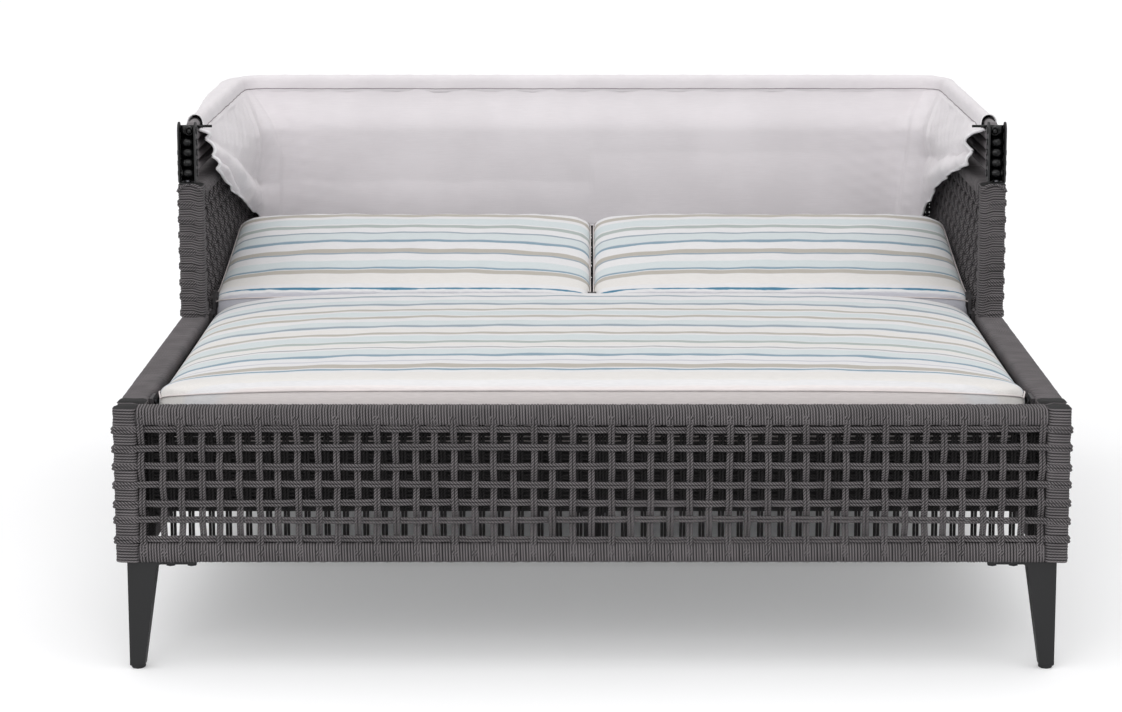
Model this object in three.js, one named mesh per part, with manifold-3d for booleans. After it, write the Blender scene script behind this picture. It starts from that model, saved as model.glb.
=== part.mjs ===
// Outdoor daybed with a folding canopy, in millimetres, +Z up.
// X runs across the bed and +Y from its front (the foot end) to its rear (the head end). The origin is on the
// floor under the middle of the bed.
// Four panels of rope woven on welded tube frames stand on tapered legs and carry a slatted deck. Arms rise over
// the rear half and end in a clevis each, in which the five bows of the canopy turn. Two backrests are hinged
// behind the seat. The canopy is folded back: its bows lie stacked above the arms, and the cloth hangs inside.
import * as THREE from "three";
import { mergeVertices } from "three/addons/utils/BufferGeometryUtils.js";
import Module from "manifold-3d";

const wasm = await Module();
wasm.setup();

// Overall sizes.
const overallWidth = 1520;
const overallDepth = 1650;
const baseBottom = 178; // underside of the woven base
const seatRailTop = 430; // top of the front panel and of the side panels before the arms
const armTop = 675; // top of the arms and of the rear panel
const armStart = 794; // from the front of the bed to the front of the arm posts

// Clearances.
const fitGap = 0.3; // between pieces that touch
const bite = 2; // how far joined pieces run into each other
const overrun = 5; // how far a cut runs past what it cuts
const holeClearance = 0.35; // between a pin or a bolt and the flats of its hole

// Woven panels.
const panelThickness = 47;
const lowRailHeight = 32;
const highRailHeight = 28;
const postWidth = 38;
const ropeThickness = 5; // of the winding round a rail or post
const windingBevel = 7;
const strandWidth = 11; // two cords side by side
const strandDepth = 4;
const warpPitch = 31;
const weftPitch = 30.5;
const strandEdgeGap = 1; // from the outermost strand to the rail or post beside it

// Legs.
const legTopWidth = 45;
const legFootWidth = 24;
const legSideInset = 17;
const legFrontInset = 10;
const legFillet = 9;
const plateLength = 110;
const plateWidth = 42;
const plateThickness = 4;
const boltOffsets = [67, 101]; // from the leg's outer side to each bolt
const boltRadius = 4;
const boltHeadRadius = 8;
const boltHeadHeight = 6;
const boltReach = 18; // above the underside of the base
const glideRadius = 12;
const glideHeight = 6;
const glideChamfer = 2;
const glideStemRadius = 5;
const glideStemLength = 18;

// Deck.
const deckTop = 352;
const slatThickness = 8;
const slatWidth = 42;
const slatPitch = 115;
const deckTubeWidth = 25;
const deckTubeHeight = 30;
const deckFrontGap = 8; // from the front panel to the deck's apron
const apronHeight = 94;
const deckEnd = 915; // from the front of the bed to the rear of the deck
const strutWidth = 27;
const strutFillet = 12;
const strutFoot = 188; // height of the strut's lower end
const flangeWidth = 44;
const flangeThickness = 5;
const flangeTopDrop = 2; // below the top of the side rails
const flangeEndInset = 55; // from the ends of the deck to its flanges
const deckBoltRadius = 3.5;
const deckBoltHeadRadius = 7;
const deckBoltHeadHeight = 3;
const deckBoltReach = 20;

// Backrests, their hinges and the beam that they rest on.
const hingePlace = 905; // from the front of the bed
const hingeHeight = 445;
const hingeDrop = 79; // from the hinge's axis down to the middle of the backrest's tubes
const restTilt = THREE.MathUtils.degToRad(9.5);
const backrestLength = 430;
const backrestTubeWidth = 22;
const backrestTubeHeight = 24;
const backrestSlatThickness = 6;
const backrestSlatWidth = 38;
const backrestSlatCount = 5;
const backrestSlatRise = 1; // above the top of the tubes
const lugThickness = 4;
const lugRadius = 12;
const lugClearance = 0.6; // beside a hinge plate
const hingePlateThickness = 6;
const hingePlateWidth = 34;
const hingePlateDrop = 41; // from the hinges' axis to the lower end of the side hinge plates
const hingePinRadius = 5;
const centrePlateThickness = 7;
const stopBeamPlace = 335; // along the backrests, from the hinges
const stopBeamWidth = 30;
const stopBeamHeight = 24;
const stopFlangeWidth = 60;
const stopFlangeHeight = 44;

// Cushions.
const seatCushionSideGap = 10; // from the side panels
const seatCushionFrontGap = 18; // from the front panel
const seatCushionEnd = 886; // from the front of the bed
const seatCushionThickness = 108;
const backCushionSideGap = 3; // from the outer hinge lugs to the back cushions
const lugNotchGap = 1; // round the inner hinge lugs, in the back cushions' corners
const backCushionThickness = 84;
const backCushionLength = 455;
const backCushionOverhang = 22; // of the back cushions in front of the hinges' plane
const backCushionLean = 12; // how far their front face leans back at its top
const cushionCrown = 8;
const cushionCorner = 11;
const cushionPullIn = 5;
const cushionWallShare = 0.55; // upright part of a cushion's side

// Canopy clevises.
const clevisWidth = 33;
const clevisDepth = 32;
const clevisRise = 115;
const clevisCorner = 8;
const cheekThickness = 3;
const webThickness = 4;
const spigotWidth = 24;
const spigotDepth = 10;
const spigotLength = 40;
const pivotPinRadius = 4;
const rivetHeadRadius = 6.5;
const rivetHeadHeight = 2;

// Canopy bows and the sleeve on the uppermost one.
const bowCount = 5;
const lowestPivotRise = 20.4; // above the arms
const bowRadius = 9.4;
const bowBend = 52;
const bowRearInset = 18; // from the rear of the bed to the middle of the cross tubes
const tabThickness = 3.6;
const tabLength = 62;
const topTabLength = 58;
const flattenedLength = 14; // over which a tube is pressed flat
const tabPitch = 5.2;
const stubPinCount = 2; // upper bows whose pins stand on the inner cheek alone
const sleeveGap = 0.5;
const sleeveThickness = 1.7;
const sleeveStart = 112; // from the pivots
const stopPinPlace = 66; // from the pivots
const stopPinRadius = 2.5;
const stopPinInside = 37; // from the middle of the tube
const stopPinOutside = 13;
const saddleWidth = 26;
const saddlePlace = 520; // from the middle of the bed

// Canopy cloth.
const clothThickness = 3;
const clothTopDrop = 5.5; // below the middle of the uppermost bow
const clothWallGap = 3; // inside the arms and the rear panel
const clothLean = 9; // how far the hem hangs further inside
const rearClothDrop = 294;
const rearFoldDepth = 2;
const rearFoldCount = 6;
const sideFoldDepth = 4;
const sideFoldCount = 5;
const foldSteps = 3; // along each fold
const sideClothStart = 100; // from the pivots
const sideClothNearDrop = 81;
const sideClothFarDrop = 247;
const clothCornerGap = 24; // between the side cloth and the rear cloth

// Round sections.
const pinSides = 8;
const boltSides = 6;
const tubeSides = 8;
const bendSteps = 4;

// Sizes that follow from those above.
const halfWidth = overallWidth / 2;
const halfDepth = overallDepth / 2;
const innerHalfWidth = halfWidth - panelThickness;
const innerRear = halfDepth - panelThickness;
const fromFront = (distance) => distance - halfDepth;
const weftSwing = (strandDepth + 2 * fitGap) / (1 - strandWidth / warpPitch);
const warpMiddle = weftSwing + strandDepth / 2; // from a panel's outer face
const sideLength = overallDepth - 2 * panelThickness - 2 * fitGap;
const sideArmStart = armStart - panelThickness - fitGap; // along a side panel
const legHeight = baseBottom - fitGap - glideHeight - fitGap;
const legOuter = halfWidth - legSideInset;
const holeRadius = (pinRadius) => (pinRadius + holeClearance) / Math.cos(Math.PI / pinSides);
const flangeOuter = innerHalfWidth - fitGap;
const flangeInner = flangeOuter - flangeThickness;
const deckHalfWidth = flangeInner + bite;
const deckFront = fromFront(panelThickness + deckFrontGap);
const deckRear = fromFront(deckEnd);
const flangeMiddles = [deckFront + flangeEndInset, deckRear - flangeEndInset];
const flangeBoltHeight = seatRailTop - highRailHeight / 2;
const hingePlateInner = flangeOuter - hingePlateThickness;
const lugOuter = hingePlateInner - lugClearance;
const lugInner = centrePlateThickness / 2 + lugClearance;
const clevisMiddle = halfWidth - rivetHeadHeight - clevisWidth / 2;
const pivotPlace = fromFront(armStart + clevisDepth / 2);
const topBow = bowCount - 1;
const bowPitch = 2 * bowRadius + fitGap;
const sleeveRoom = sleeveGap + sleeveThickness; // between the uppermost bow and the next one
const pivotHeight = (n) => armTop + lowestPivotRise + n * bowPitch + (n === topBow ? sleeveRoom : 0);
const bowRear = halfDepth - bowRearInset;

// Materials.
const finish = (color, roughness, metalness) => new THREE.MeshStandardMaterial({ color, roughness, metalness });
const ropeGrey = finish(0x5c575a, 0.85, 0);
const frameGrey = finish(0x4a4749, 0.5, 0.4);
const legBlack = finish(0x1e1e20, 0.45, 0.3);
const boltBlack = finish(0x151516, 0.4, 0.6);
const plasticBlack = finish(0x0e0e0f, 0.35, 0.1);
const bowGrey = finish(0x8a8488, 0.45, 0.4);
const clothWhite = finish(0xcfcace, 0.9, 0);
const stripedFabric = finish(0xd8dad9, 0.9, 0);

// A closed three.js geometry as a solid, turned face out.
function solidOf(geometry) {
  const plain = geometry.clone();
  plain.deleteAttribute("normal");
  plain.deleteAttribute("uv");
  const merged = mergeVertices(plain);
  const triVerts = new Uint32Array(merged.index.array);
  const vertProperties = merged.attributes.position.array;
  const build = () => new wasm.Manifold(new wasm.Mesh({ numProp: 3, vertProperties, triVerts }));
  const made = build();
  if (made.volume() > 0) return made;
  for (let i = 0; i < triVerts.length; i += 3) triVerts.subarray(i, i + 3).reverse();
  return build();
}

// A solid as a three.js geometry.
function geometryOf(solid) {
  const { numVert, numProp, vertProperties, triVerts } = solid.getMesh();
  const positions = new Float32Array(numVert * 3);
  for (let i = 0; i < numVert; i++) {
    positions.set(vertProperties.subarray(i * numProp, i * numProp + 3), i * 3);
  }
  const geometry = new THREE.BufferGeometry();
  geometry.setAttribute("position", new THREE.BufferAttribute(positions, 3));
  geometry.setIndex(new THREE.BufferAttribute(new Uint32Array(triVerts), 1));
  return geometry;
}

const join = (solids) => solids.reduce((whole, piece) => whole.add(piece));
const cut = (solid, tools) => tools.reduce((left, tool) => left.subtract(tool), solid);

// A block between two corners.
function block([x0, y0, z0], [x1, y1, z1]) {
  const geometry = new THREE.BoxGeometry(x1 - x0, y1 - y0, z1 - z0);
  return solidOf(geometry.translate((x0 + x1) / 2, (y0 + y1) / 2, (z0 + z1) / 2));
}

// A round or many-sided bar from one point to another.
function rod(from, to, radius, sides = pinSides) {
  const start = new THREE.Vector3(...from);
  const end = new THREE.Vector3(...to);
  const geometry = new THREE.CylinderGeometry(radius, radius, start.distanceTo(end), sides);
  const along = end.clone().sub(start).normalize();
  geometry.applyQuaternion(new THREE.Quaternion().setFromUnitVectors(new THREE.Vector3(0, 1, 0), along));
  const middle = start.lerp(end, 1 / 2);
  return solidOf(geometry.translate(middle.x, middle.y, middle.z));
}

// An outline drawn out along X from x0 to x1: the outline's first axis is Y and its second Z.
function drawnAlongX(shape, x0, x1, curveSegments = 4) {
  const geometry = new THREE.ExtrudeGeometry(shape, { depth: x1 - x0, bevelEnabled: false, curveSegments });
  const axes = [new THREE.Vector3(0, 1, 0), new THREE.Vector3(0, 0, 1), new THREE.Vector3(1, 0, 0)];
  geometry.applyMatrix4(new THREE.Matrix4().makeBasis(...axes));
  return solidOf(geometry.translate(x0, 0, 0));
}

// An outline drawn out along Y from y0 to y1: the outline's first axis is X and its second Z.
function drawnAlongY(shape, y0, y1, curveSegments = 4) {
  const geometry = new THREE.ExtrudeGeometry(shape, { depth: y1 - y0, bevelEnabled: false, curveSegments });
  return solidOf(geometry.rotateX(Math.PI / 2).translate(0, y1, 0));
}

// A closed skin through rings of points, with flat ends.
function loft(rings) {
  const count = rings[0].length;
  const index = [];
  for (let r = 0; r < rings.length - 1; r++) {
    for (let n = 0; n < count; n++) {
      const a = r * count + n;
      const b = r * count + ((n + 1) % count);
      index.push(a, b, b + count, a, b + count, a + count);
    }
  }
  const last = (rings.length - 1) * count;
  for (let n = 1; n < count - 1; n++) index.push(0, n + 1, n, last, last + n, last + n + 1);
  return pointGeometry(rings.flat(), index);
}

// A closed slab between two skins, each given by a function of two shares from 0 to 1.
function slab(columns, rows, lowerAt, upperAt) {
  const points = [lowerAt, upperAt].flatMap((pointAt) => {
    const cells = Array.from({ length: (columns + 1) * (rows + 1) });
    return cells.map((_, n) => pointAt(Math.floor(n / (rows + 1)) / columns, (n % (rows + 1)) / rows));
  });
  const at = (skin, i, j) => (skin * (columns + 1) + i) * (rows + 1) + j;
  const index = [];
  const quad = (a, b, c, d) => index.push(a, b, c, a, c, d);
  for (let i = 0; i < columns; i++) {
    for (let j = 0; j < rows; j++) {
      quad(at(0, i, j), at(0, i, j + 1), at(0, i + 1, j + 1), at(0, i + 1, j));
      quad(at(1, i, j), at(1, i + 1, j), at(1, i + 1, j + 1), at(1, i, j + 1));
    }
    quad(at(0, i, 0), at(0, i + 1, 0), at(1, i + 1, 0), at(1, i, 0));
    quad(at(0, i + 1, rows), at(0, i, rows), at(1, i, rows), at(1, i + 1, rows));
  }
  for (let j = 0; j < rows; j++) {
    quad(at(0, 0, j + 1), at(0, 0, j), at(1, 0, j), at(1, 0, j + 1));
    quad(at(0, columns, j), at(0, columns, j + 1), at(1, columns, j + 1), at(1, columns, j));
  }
  return pointGeometry(points, index);
}

function pointGeometry(points, index) {
  const geometry = new THREE.BufferGeometry().setFromPoints(points);
  geometry.setIndex(index);
  return geometry;
}

// A solid turned by a matrix.
function moved(solid, matrix) {
  return solidOf(geometryOf(solid).applyMatrix4(matrix));
}

// A solid mirrored left to right, or front to rear.
const mirroredX = (solid) => moved(solid, new THREE.Matrix4().makeScale(-1, 1, 1));
const mirroredY = (solid) => moved(solid, new THREE.Matrix4().makeScale(1, -1, 1));

const daybed = new THREE.Group();

// Adds a solid under a name.
function add(name, solid, material, parent = daybed) {
  const geometry = geometryOf(solid);
  geometry.computeVertexNormals();
  const mesh = new THREE.Mesh(geometry, material);
  mesh.name = name;
  parent.add(mesh);
}

// Adds a solid made for the right side, and its mirror image for the left.
function addPair(name, rightSolid, material, parent = daybed) {
  add("right_" + name, rightSolid, material, parent);
  add("left_" + name, mirroredX(rightSolid), material, parent);
}

// Panels are made in axes of their own: x along the panel, y inwards from its outer face, z up.

// A rectangle from a0 to a1 and b0 to b1 with two corners cut: those on b's high side or its low side.
function cutCornerOutline(a0, a1, b0, b1, cutHigh) {
  const [plain, trimmed, inward] = cutHigh ? [b0, b1, -windingBevel] : [b1, b0, windingBevel];
  const shape = new THREE.Shape();
  shape.moveTo(a0, plain);
  shape.lineTo(a1, plain);
  shape.lineTo(a1, trimmed + inward);
  shape.lineTo(a1 - windingBevel, trimmed);
  shape.lineTo(a0 + windingBevel, trimmed);
  shape.lineTo(a0, trimmed + inward);
  return shape;
}

// Rope wound on a rail.
const woundRail = (x0, x1, z0, z1, cutHigh) =>
  drawnAlongX(cutCornerOutline(0, panelThickness, z0, z1, cutHigh), x0, x1);

// Rope wound on a post.
function woundPost(x0, x1, z0, z1, cutHigh) {
  const shape = cutCornerOutline(0, panelThickness, x0, x1, cutHigh);
  const geometry = new THREE.ExtrudeGeometry(shape, { depth: z1 - z0, bevelEnabled: false });
  const axes = [new THREE.Vector3(0, 1, 0), new THREE.Vector3(1, 0, 0), new THREE.Vector3(0, 0, 1)];
  geometry.applyMatrix4(new THREE.Matrix4().makeBasis(...axes));
  return solidOf(geometry.translate(0, 0, z0));
}

// The tube inside a wound rail or post, grown by a clearance where it is a cut.
const innerTube = (x0, x1, z0, z1, grow) =>
  block(
    [x0 + ropeThickness - grow, ropeThickness - grow, z0 + ropeThickness - grow],
    [x1 - ropeThickness + grow, panelThickness - ropeThickness + grow, z1 - ropeThickness + grow],
  );

// The welded frame of a four-sided panel.
const panelFrame = (length, bottom, top, grow = 0) =>
  join([
    innerTube(0, length, bottom, bottom + lowRailHeight, grow),
    innerTube(0, length, top - highRailHeight, top, grow),
    innerTube(0, postWidth, bottom, top, grow),
    innerTube(length - postWidth, length, bottom, top, grow),
  ]);

// Even places for strands between two edges, at about the given pitch.
function strandPlaces(from, to, pitch) {
  const first = from + strandEdgeGap + strandWidth / 2;
  const last = to - strandEdgeGap - strandWidth / 2;
  const steps = Math.max(1, Math.round((last - first) / pitch));
  return Array.from({ length: steps + 1 }, (_, n) => first + ((last - first) * n) / steps);
}

// The upright strands.
const warps = (places, z0, z1) =>
  places.map((x) =>
    block(
      [x - strandWidth / 2, warpMiddle - strandDepth / 2, z0],
      [x + strandWidth / 2, warpMiddle + strandDepth / 2, z1],
    ),
  );

// A level strand that passes in front of one upright strand and behind the next.
function interlacedWeft(places, x0, x1, z, startsInFront) {
  const swingAt = (n) => ((n % 2 === 0) === startsInFront ? -weftSwing : weftSwing);
  const last = places.length - 1;
  const stations = [[x0, swingAt(0)], ...places.map((x, n) => [x, swingAt(n)]), [x1, swingAt(last)]];
  const edge = (side) =>
    stations.map(([x, swing]) => new THREE.Vector2(x, warpMiddle + swing + (side * strandDepth) / 2));
  const shape = new THREE.Shape([...edge(-1), ...edge(1).reverse()]);
  const geometry = new THREE.ExtrudeGeometry(shape, { depth: strandWidth, bevelEnabled: false });
  return solidOf(geometry.translate(0, 0, z - strandWidth / 2));
}

// A level strand that lies behind all the upright ones.
function straightWeft(x0, x1, z) {
  const front = warpMiddle + strandDepth / 2 + fitGap;
  return block([x0, front, z - strandWidth / 2], [x1, front + strandDepth, z + strandWidth / 2]);
}

// All level strands between z0 and z1, ending in the windings of the posts at x0 and x1.
const wefts = (places, x0, x1, z0, z1, interlaced) =>
  strandPlaces(z0, z1, weftPitch).map((z, row) =>
    interlaced
      ? interlacedWeft(places, x0 - bite, x1 + bite, z, row % 2 === 0)
      : straightWeft(x0 - bite, x1 + bite, z),
  );

// The ropes of a four-sided panel: upright ones with the windings of the rails that hold them, and
// level ones with the windings of the posts. cuts are the frame inside and what is bolted to it.
function panelRopes(length, bottom, top, interlaced, cuts) {
  const [x0, x1] = [postWidth, length - postWidth];
  const [z0, z1] = [bottom + lowRailHeight, top - highRailHeight];
  const places = strandPlaces(x0, x1, warpPitch);
  const upright = [
    woundRail(x0 + fitGap, x1 - fitGap, bottom, z0, false),
    woundRail(x0 + fitGap, x1 - fitGap, z1, top, true),
    ...warps(places, z0 - bite, z1 + bite),
  ];
  const level = [
    woundPost(0, x0, bottom, top, false),
    woundPost(x1, length, bottom, top, true),
    ...wefts(places, x0, x1, z0, z1, interlaced),
  ];
  return { upright: cut(join(upright), cuts), level: cut(join(level), cuts) };
}

// Where a panel's own axes lie in the bed.
const axesAt = (x, y, turn) => new THREE.Matrix4().makeRotationZ(turn).setPosition(x, y, 0);

// Front and rear panels, with holes for the bolts of the legs.
function endPanel(name, top, interlaced, axes) {
  const boltPlaces = boltOffsets.flatMap((offset) => [legOuter - offset, offset - legOuter]);
  const across = legFrontInset + plateWidth / 2;
  const boltHoles = boltPlaces.map((x) =>
    rod(
      [halfWidth + x, across, baseBottom - overrun],
      [halfWidth + x, across, baseBottom + boltReach + fitGap],
      holeRadius(boltRadius),
    ),
  );
  const frame = cut(panelFrame(overallWidth, baseBottom, top), boltHoles);
  const cuts = [panelFrame(overallWidth, baseBottom, top, fitGap), ...boltHoles];
  const ropes = panelRopes(overallWidth, baseBottom, top, interlaced, cuts);
  add(name + "_panel_frame", moved(frame, axes), frameGrey);
  add(name + "_upright_ropes", moved(ropes.upright, axes), ropeGrey);
  add(name + "_level_ropes", moved(ropes.level, axes), ropeGrey);
}

endPanel("front", seatRailTop, true, axesAt(-halfWidth, -halfDepth, 0));
endPanel("rear", armTop, false, axesAt(halfWidth, halfDepth, Math.PI));

// The right side panel with its arm. Its own x runs from the front panel to the rear one.
const sideAxes = axesAt(halfWidth, fromFront(panelThickness + fitGap), Math.PI / 2);

function sideFrame(grow = 0) {
  const low = seatRailTop - highRailHeight;
  return join([
    panelFrame(sideLength, baseBottom, seatRailTop, grow),
    innerTube(sideArmStart, sideArmStart + postWidth, low, armTop, grow),
    innerTube(sideLength - postWidth, sideLength, low, armTop, grow),
    innerTube(sideArmStart, sideLength, armTop - highRailHeight, armTop, grow),
  ]);
}

// The tongue under the clevis, which the arm post holds.
const spigot = (grow = 0) =>
  block(
    [clevisMiddle - spigotWidth / 2 - grow, pivotPlace - spigotDepth / 2 - grow, armTop - spigotLength - grow],
    [clevisMiddle + spigotWidth / 2 + grow, pivotPlace + spigotDepth / 2 + grow, armTop + webThickness / 2],
  );

// Holes for bolts that come through the inner face of the right side panel.
const sideBoltHole = (y, z) =>
  rod(
    [flangeInner - overrun, y, z],
    [innerHalfWidth + deckBoltReach + fitGap, y, z],
    holeRadius(deckBoltRadius),
  );
const sideBolt = (y, z) =>
  join([
    rod([flangeInner - fitGap - bite, y, z], [innerHalfWidth + deckBoltReach, y, z], deckBoltRadius, boltSides),
    rod(
      [flangeInner - fitGap - deckBoltHeadHeight, y, z],
      [flangeInner - fitGap, y, z],
      deckBoltHeadRadius,
      boltSides,
    ),
  ]);

const tilted = new THREE.Matrix4()
  .makeRotationX(restTilt)
  .setPosition(0, fromFront(hingePlace), hingeHeight);
const stopMiddle = new THREE.Vector3(
  0,
  stopBeamPlace + stopBeamWidth / 2,
  -hingeDrop - backrestTubeHeight / 2 - fitGap - stopBeamHeight / 2,
).applyMatrix4(tilted);

function sidePanel() {
  const toPanel = sideAxes.clone().invert();
  const deckBoltHoles = flangeMiddles.map((y) => sideBoltHole(y, flangeBoltHeight));
  const fittings = [spigot(fitGap), ...deckBoltHoles].map((solid) => moved(solid, toPanel));
  const cuts = [sideFrame(fitGap), ...fittings];
  const base = panelRopes(sideLength, baseBottom, seatRailTop, false, cuts);
  const [x0, x1] = [sideArmStart + postWidth, sideLength - postWidth];
  const [z0, z1] = [seatRailTop + fitGap, armTop - highRailHeight];
  const places = strandPlaces(x0, x1, warpPitch);
  const armUpright = join([
    woundRail(x0 + fitGap, x1 - fitGap, z1, armTop, true),
    ...warps(places, z0, z1 + bite),
  ]);
  const armLevel = join([
    woundPost(sideArmStart, x0, z0, armTop, false),
    woundPost(x1, sideLength, z0, armTop, true),
    ...wefts(places, x0, x1, z0, z1, false),
  ]);
  const inBed = (solid) => moved(solid, sideAxes);
  addPair("side_frame", inBed(cut(sideFrame(), fittings)), frameGrey);
  addPair("side_upright_ropes", inBed(base.upright), ropeGrey);
  addPair("side_level_ropes", inBed(base.level), ropeGrey);
  addPair("arm_upright_ropes", inBed(cut(armUpright, cuts)), ropeGrey);
  addPair("arm_level_ropes", inBed(cut(armLevel, cuts)), ropeGrey);
}

sidePanel();

// A leg, seen from the front, tapers on its inner side and runs out into the plate above it with a fillet.
// The same taper is then given to its depth, so that both outer sides stay upright.
function leg() {
  const top = baseBottom - fitGap;
  const under = top - plateThickness;
  const foot = top - legHeight;
  const shape = new THREE.Shape();
  shape.moveTo(legOuter, foot);
  shape.lineTo(legOuter, under + bite);
  shape.lineTo(legOuter - legTopWidth - legFillet, under + bite);
  shape.lineTo(legOuter - legTopWidth - legFillet, under);
  shape.quadraticCurveTo(legOuter - legTopWidth, under, legOuter - legTopWidth, under - legFillet);
  shape.lineTo(legOuter - legFootWidth, foot);
  const geometry = geometryOf(drawnAlongY(shape, 0, legTopWidth, 3));
  const positions = geometry.attributes.position;
  for (let i = 0; i < positions.count; i++) {
    const share = Math.min(1, (under - positions.getZ(i)) / (under - foot));
    const depth = 1 - Math.max(0, share) * (1 - legFootWidth / legTopWidth);
    positions.setY(i, -halfDepth + legFrontInset + positions.getY(i) * depth);
  }
  const plate = block(
    [legOuter - plateLength, -halfDepth + legFrontInset, under],
    [legOuter, -halfDepth + legFrontInset + plateWidth, top],
  );
  const holes = boltOffsets.map((offset) =>
    rod(
      [legOuter - offset, -halfDepth + legFrontInset + plateWidth / 2, under - overrun],
      [legOuter - offset, -halfDepth + legFrontInset + plateWidth / 2, top + overrun],
      holeRadius(boltRadius),
    ),
  );
  const stemHole = rod(
    [legOuter - legFootWidth / 2, -halfDepth + legFrontInset + legFootWidth / 2, foot - overrun],
    [legOuter - legFootWidth / 2, -halfDepth + legFrontInset + legFootWidth / 2, foot + glideStemLength + fitGap],
    holeRadius(glideStemRadius),
  );
  return cut(solidOf(geometry).add(plate), [...holes, stemHole]);
}

// The glide under a leg, with a stem that is pushed up into it.
function glide() {
  const profile = [
    [0, 0],
    [glideRadius - glideChamfer, 0],
    [glideRadius, glideChamfer],
    [glideRadius, glideHeight],
    [glideStemRadius, glideHeight],
    [glideStemRadius, glideHeight + glideStemLength],
    [0, glideHeight + glideStemLength],
  ].map(([radius, height]) => new THREE.Vector2(radius, height));
  const geometry = new THREE.LatheGeometry(profile, pinSides).rotateX(Math.PI / 2);
  const across = -halfDepth + legFrontInset + legFootWidth / 2;
  return solidOf(geometry.translate(legOuter - legFootWidth / 2, across, 0));
}

// A bolt that holds a leg's plate to the tube above it.
function legBolt(offset) {
  const x = legOuter - offset;
  const y = -halfDepth + legFrontInset + plateWidth / 2;
  const headTop = baseBottom - fitGap - plateThickness - fitGap;
  return join([
    rod([x, y, headTop - bite], [x, y, baseBottom + boltReach], boltRadius, boltSides),
    rod([x, y, headTop - boltHeadHeight], [x, y, headTop], boltHeadRadius, boltSides),
  ]);
}

function addLegs() {
  const boltNames = ["outer_leg_bolt", "inner_leg_bolt"];
  for (const [end, turned] of [["front", (solid) => solid], ["rear", mirroredY]]) {
    addPair(end + "_leg", turned(leg()), legBlack);
    addPair(end + "_glide", turned(glide()), plasticBlack);
    boltOffsets.forEach((offset, n) => addPair(end + "_" + boltNames[n], turned(legBolt(offset)), boltBlack));
  }
}

addLegs();

// The slatted deck: a welded ring of tubes with a deep apron in front, a spine, slats across, flanges that
// bolt to the side rails, a strut against the front panel and a plate for the backrests' inner hinges.
function deck() {
  const tubeTop = deckTop - slatThickness;
  const tubeBottom = tubeTop - deckTubeHeight;
  const tube = (x0, x1, y0, y1) => block([x0, y0, tubeBottom], [x1, y1, tubeTop]);
  const ring = [
    block(
      [-deckHalfWidth, deckFront, tubeTop - apronHeight],
      [deckHalfWidth, deckFront + deckTubeWidth, tubeTop],
    ),
    tube(-deckHalfWidth, deckHalfWidth, deckRear - deckTubeWidth, deckRear),
    tube(-deckHalfWidth, -deckHalfWidth + deckTubeWidth, deckFront, deckRear),
    tube(deckHalfWidth - deckTubeWidth, deckHalfWidth, deckFront, deckRear),
    tube(-deckTubeWidth / 2, deckTubeWidth / 2, deckFront, deckRear),
  ];
  const slatRoom = deckRear - deckFront - slatWidth;
  const slatSteps = Math.max(1, Math.round(slatRoom / slatPitch));
  const slats = Array.from({ length: slatSteps + 1 }, (_, n) => {
    const y = deckFront + (slatRoom * n) / slatSteps;
    return block([-deckHalfWidth, y, tubeTop - bite], [deckHalfWidth, y + slatWidth, deckTop]);
  });
  const flanges = flangeMiddles.flatMap((y) => {
    const flange = block(
      [flangeInner, y - flangeWidth / 2, tubeBottom],
      [flangeOuter, y + flangeWidth / 2, seatRailTop - flangeTopDrop],
    );
    const drilled = flange.subtract(sideBoltHole(y, flangeBoltHeight));
    return [drilled, mirroredX(drilled)];
  });
  return join([...ring, ...slats, ...flanges, strut(tubeTop - apronHeight), centreHingePlate(tubeBottom)]);
}

// The strut that stands the apron off the front panel's lower rail, widening into the apron.
function strut(apronBottom) {
  const shape = new THREE.Shape();
  shape.moveTo(-strutWidth / 2, strutFoot);
  shape.lineTo(strutWidth / 2, strutFoot);
  shape.lineTo(strutWidth / 2, apronBottom - strutFillet);
  shape.quadraticCurveTo(strutWidth / 2, apronBottom, strutWidth / 2 + strutFillet, apronBottom);
  shape.lineTo(strutWidth / 2 + strutFillet, apronBottom + bite);
  shape.lineTo(-strutWidth / 2 - strutFillet, apronBottom + bite);
  shape.lineTo(-strutWidth / 2 - strutFillet, apronBottom);
  shape.quadraticCurveTo(-strutWidth / 2, apronBottom, -strutWidth / 2, apronBottom - strutFillet);
  return drawnAlongY(shape, fromFront(panelThickness + fitGap), deckFront + deckTubeWidth);
}

// The outline of an upright plate with a round top on the hinges' axis, from foot upwards.
function hingePlateOutline(foot) {
  const middle = fromFront(hingePlace);
  const shape = new THREE.Shape();
  shape.moveTo(middle - hingePlateWidth / 2, foot);
  shape.lineTo(middle + hingePlateWidth / 2, foot);
  shape.lineTo(middle + lugRadius, hingeHeight);
  shape.absarc(middle, hingeHeight, lugRadius, 0, Math.PI);
  return shape;
}

const hingePin = (x0, x1) =>
  rod([x0, fromFront(hingePlace), hingeHeight], [x1, fromFront(hingePlace), hingeHeight], hingePinRadius);

function centreHingePlate(foot) {
  const halfThickness = centrePlateThickness / 2;
  const pinEnd = lugInner + lugThickness;
  const plate = drawnAlongX(hingePlateOutline(foot), -halfThickness, halfThickness);
  return plate.add(hingePin(-pinEnd, pinEnd));
}

// The plate on the side rail's inner face that carries a backrest's outer hinge pin.
function sideHingePlate() {
  const plate = drawnAlongX(hingePlateOutline(hingeHeight - hingePlateDrop), hingePlateInner, flangeOuter);
  return plate.add(hingePin(lugOuter - lugThickness, hingePlateInner + bite));
}

add("seat_deck", deck(), frameGrey);
flangeMiddles.forEach((y, n) => {
  addPair(["front", "rear"][n] + "_deck_bolt", sideBolt(y, flangeBoltHeight), boltBlack);
});
addPair("hinge_plate", sideHingePlate(), frameGrey);

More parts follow.
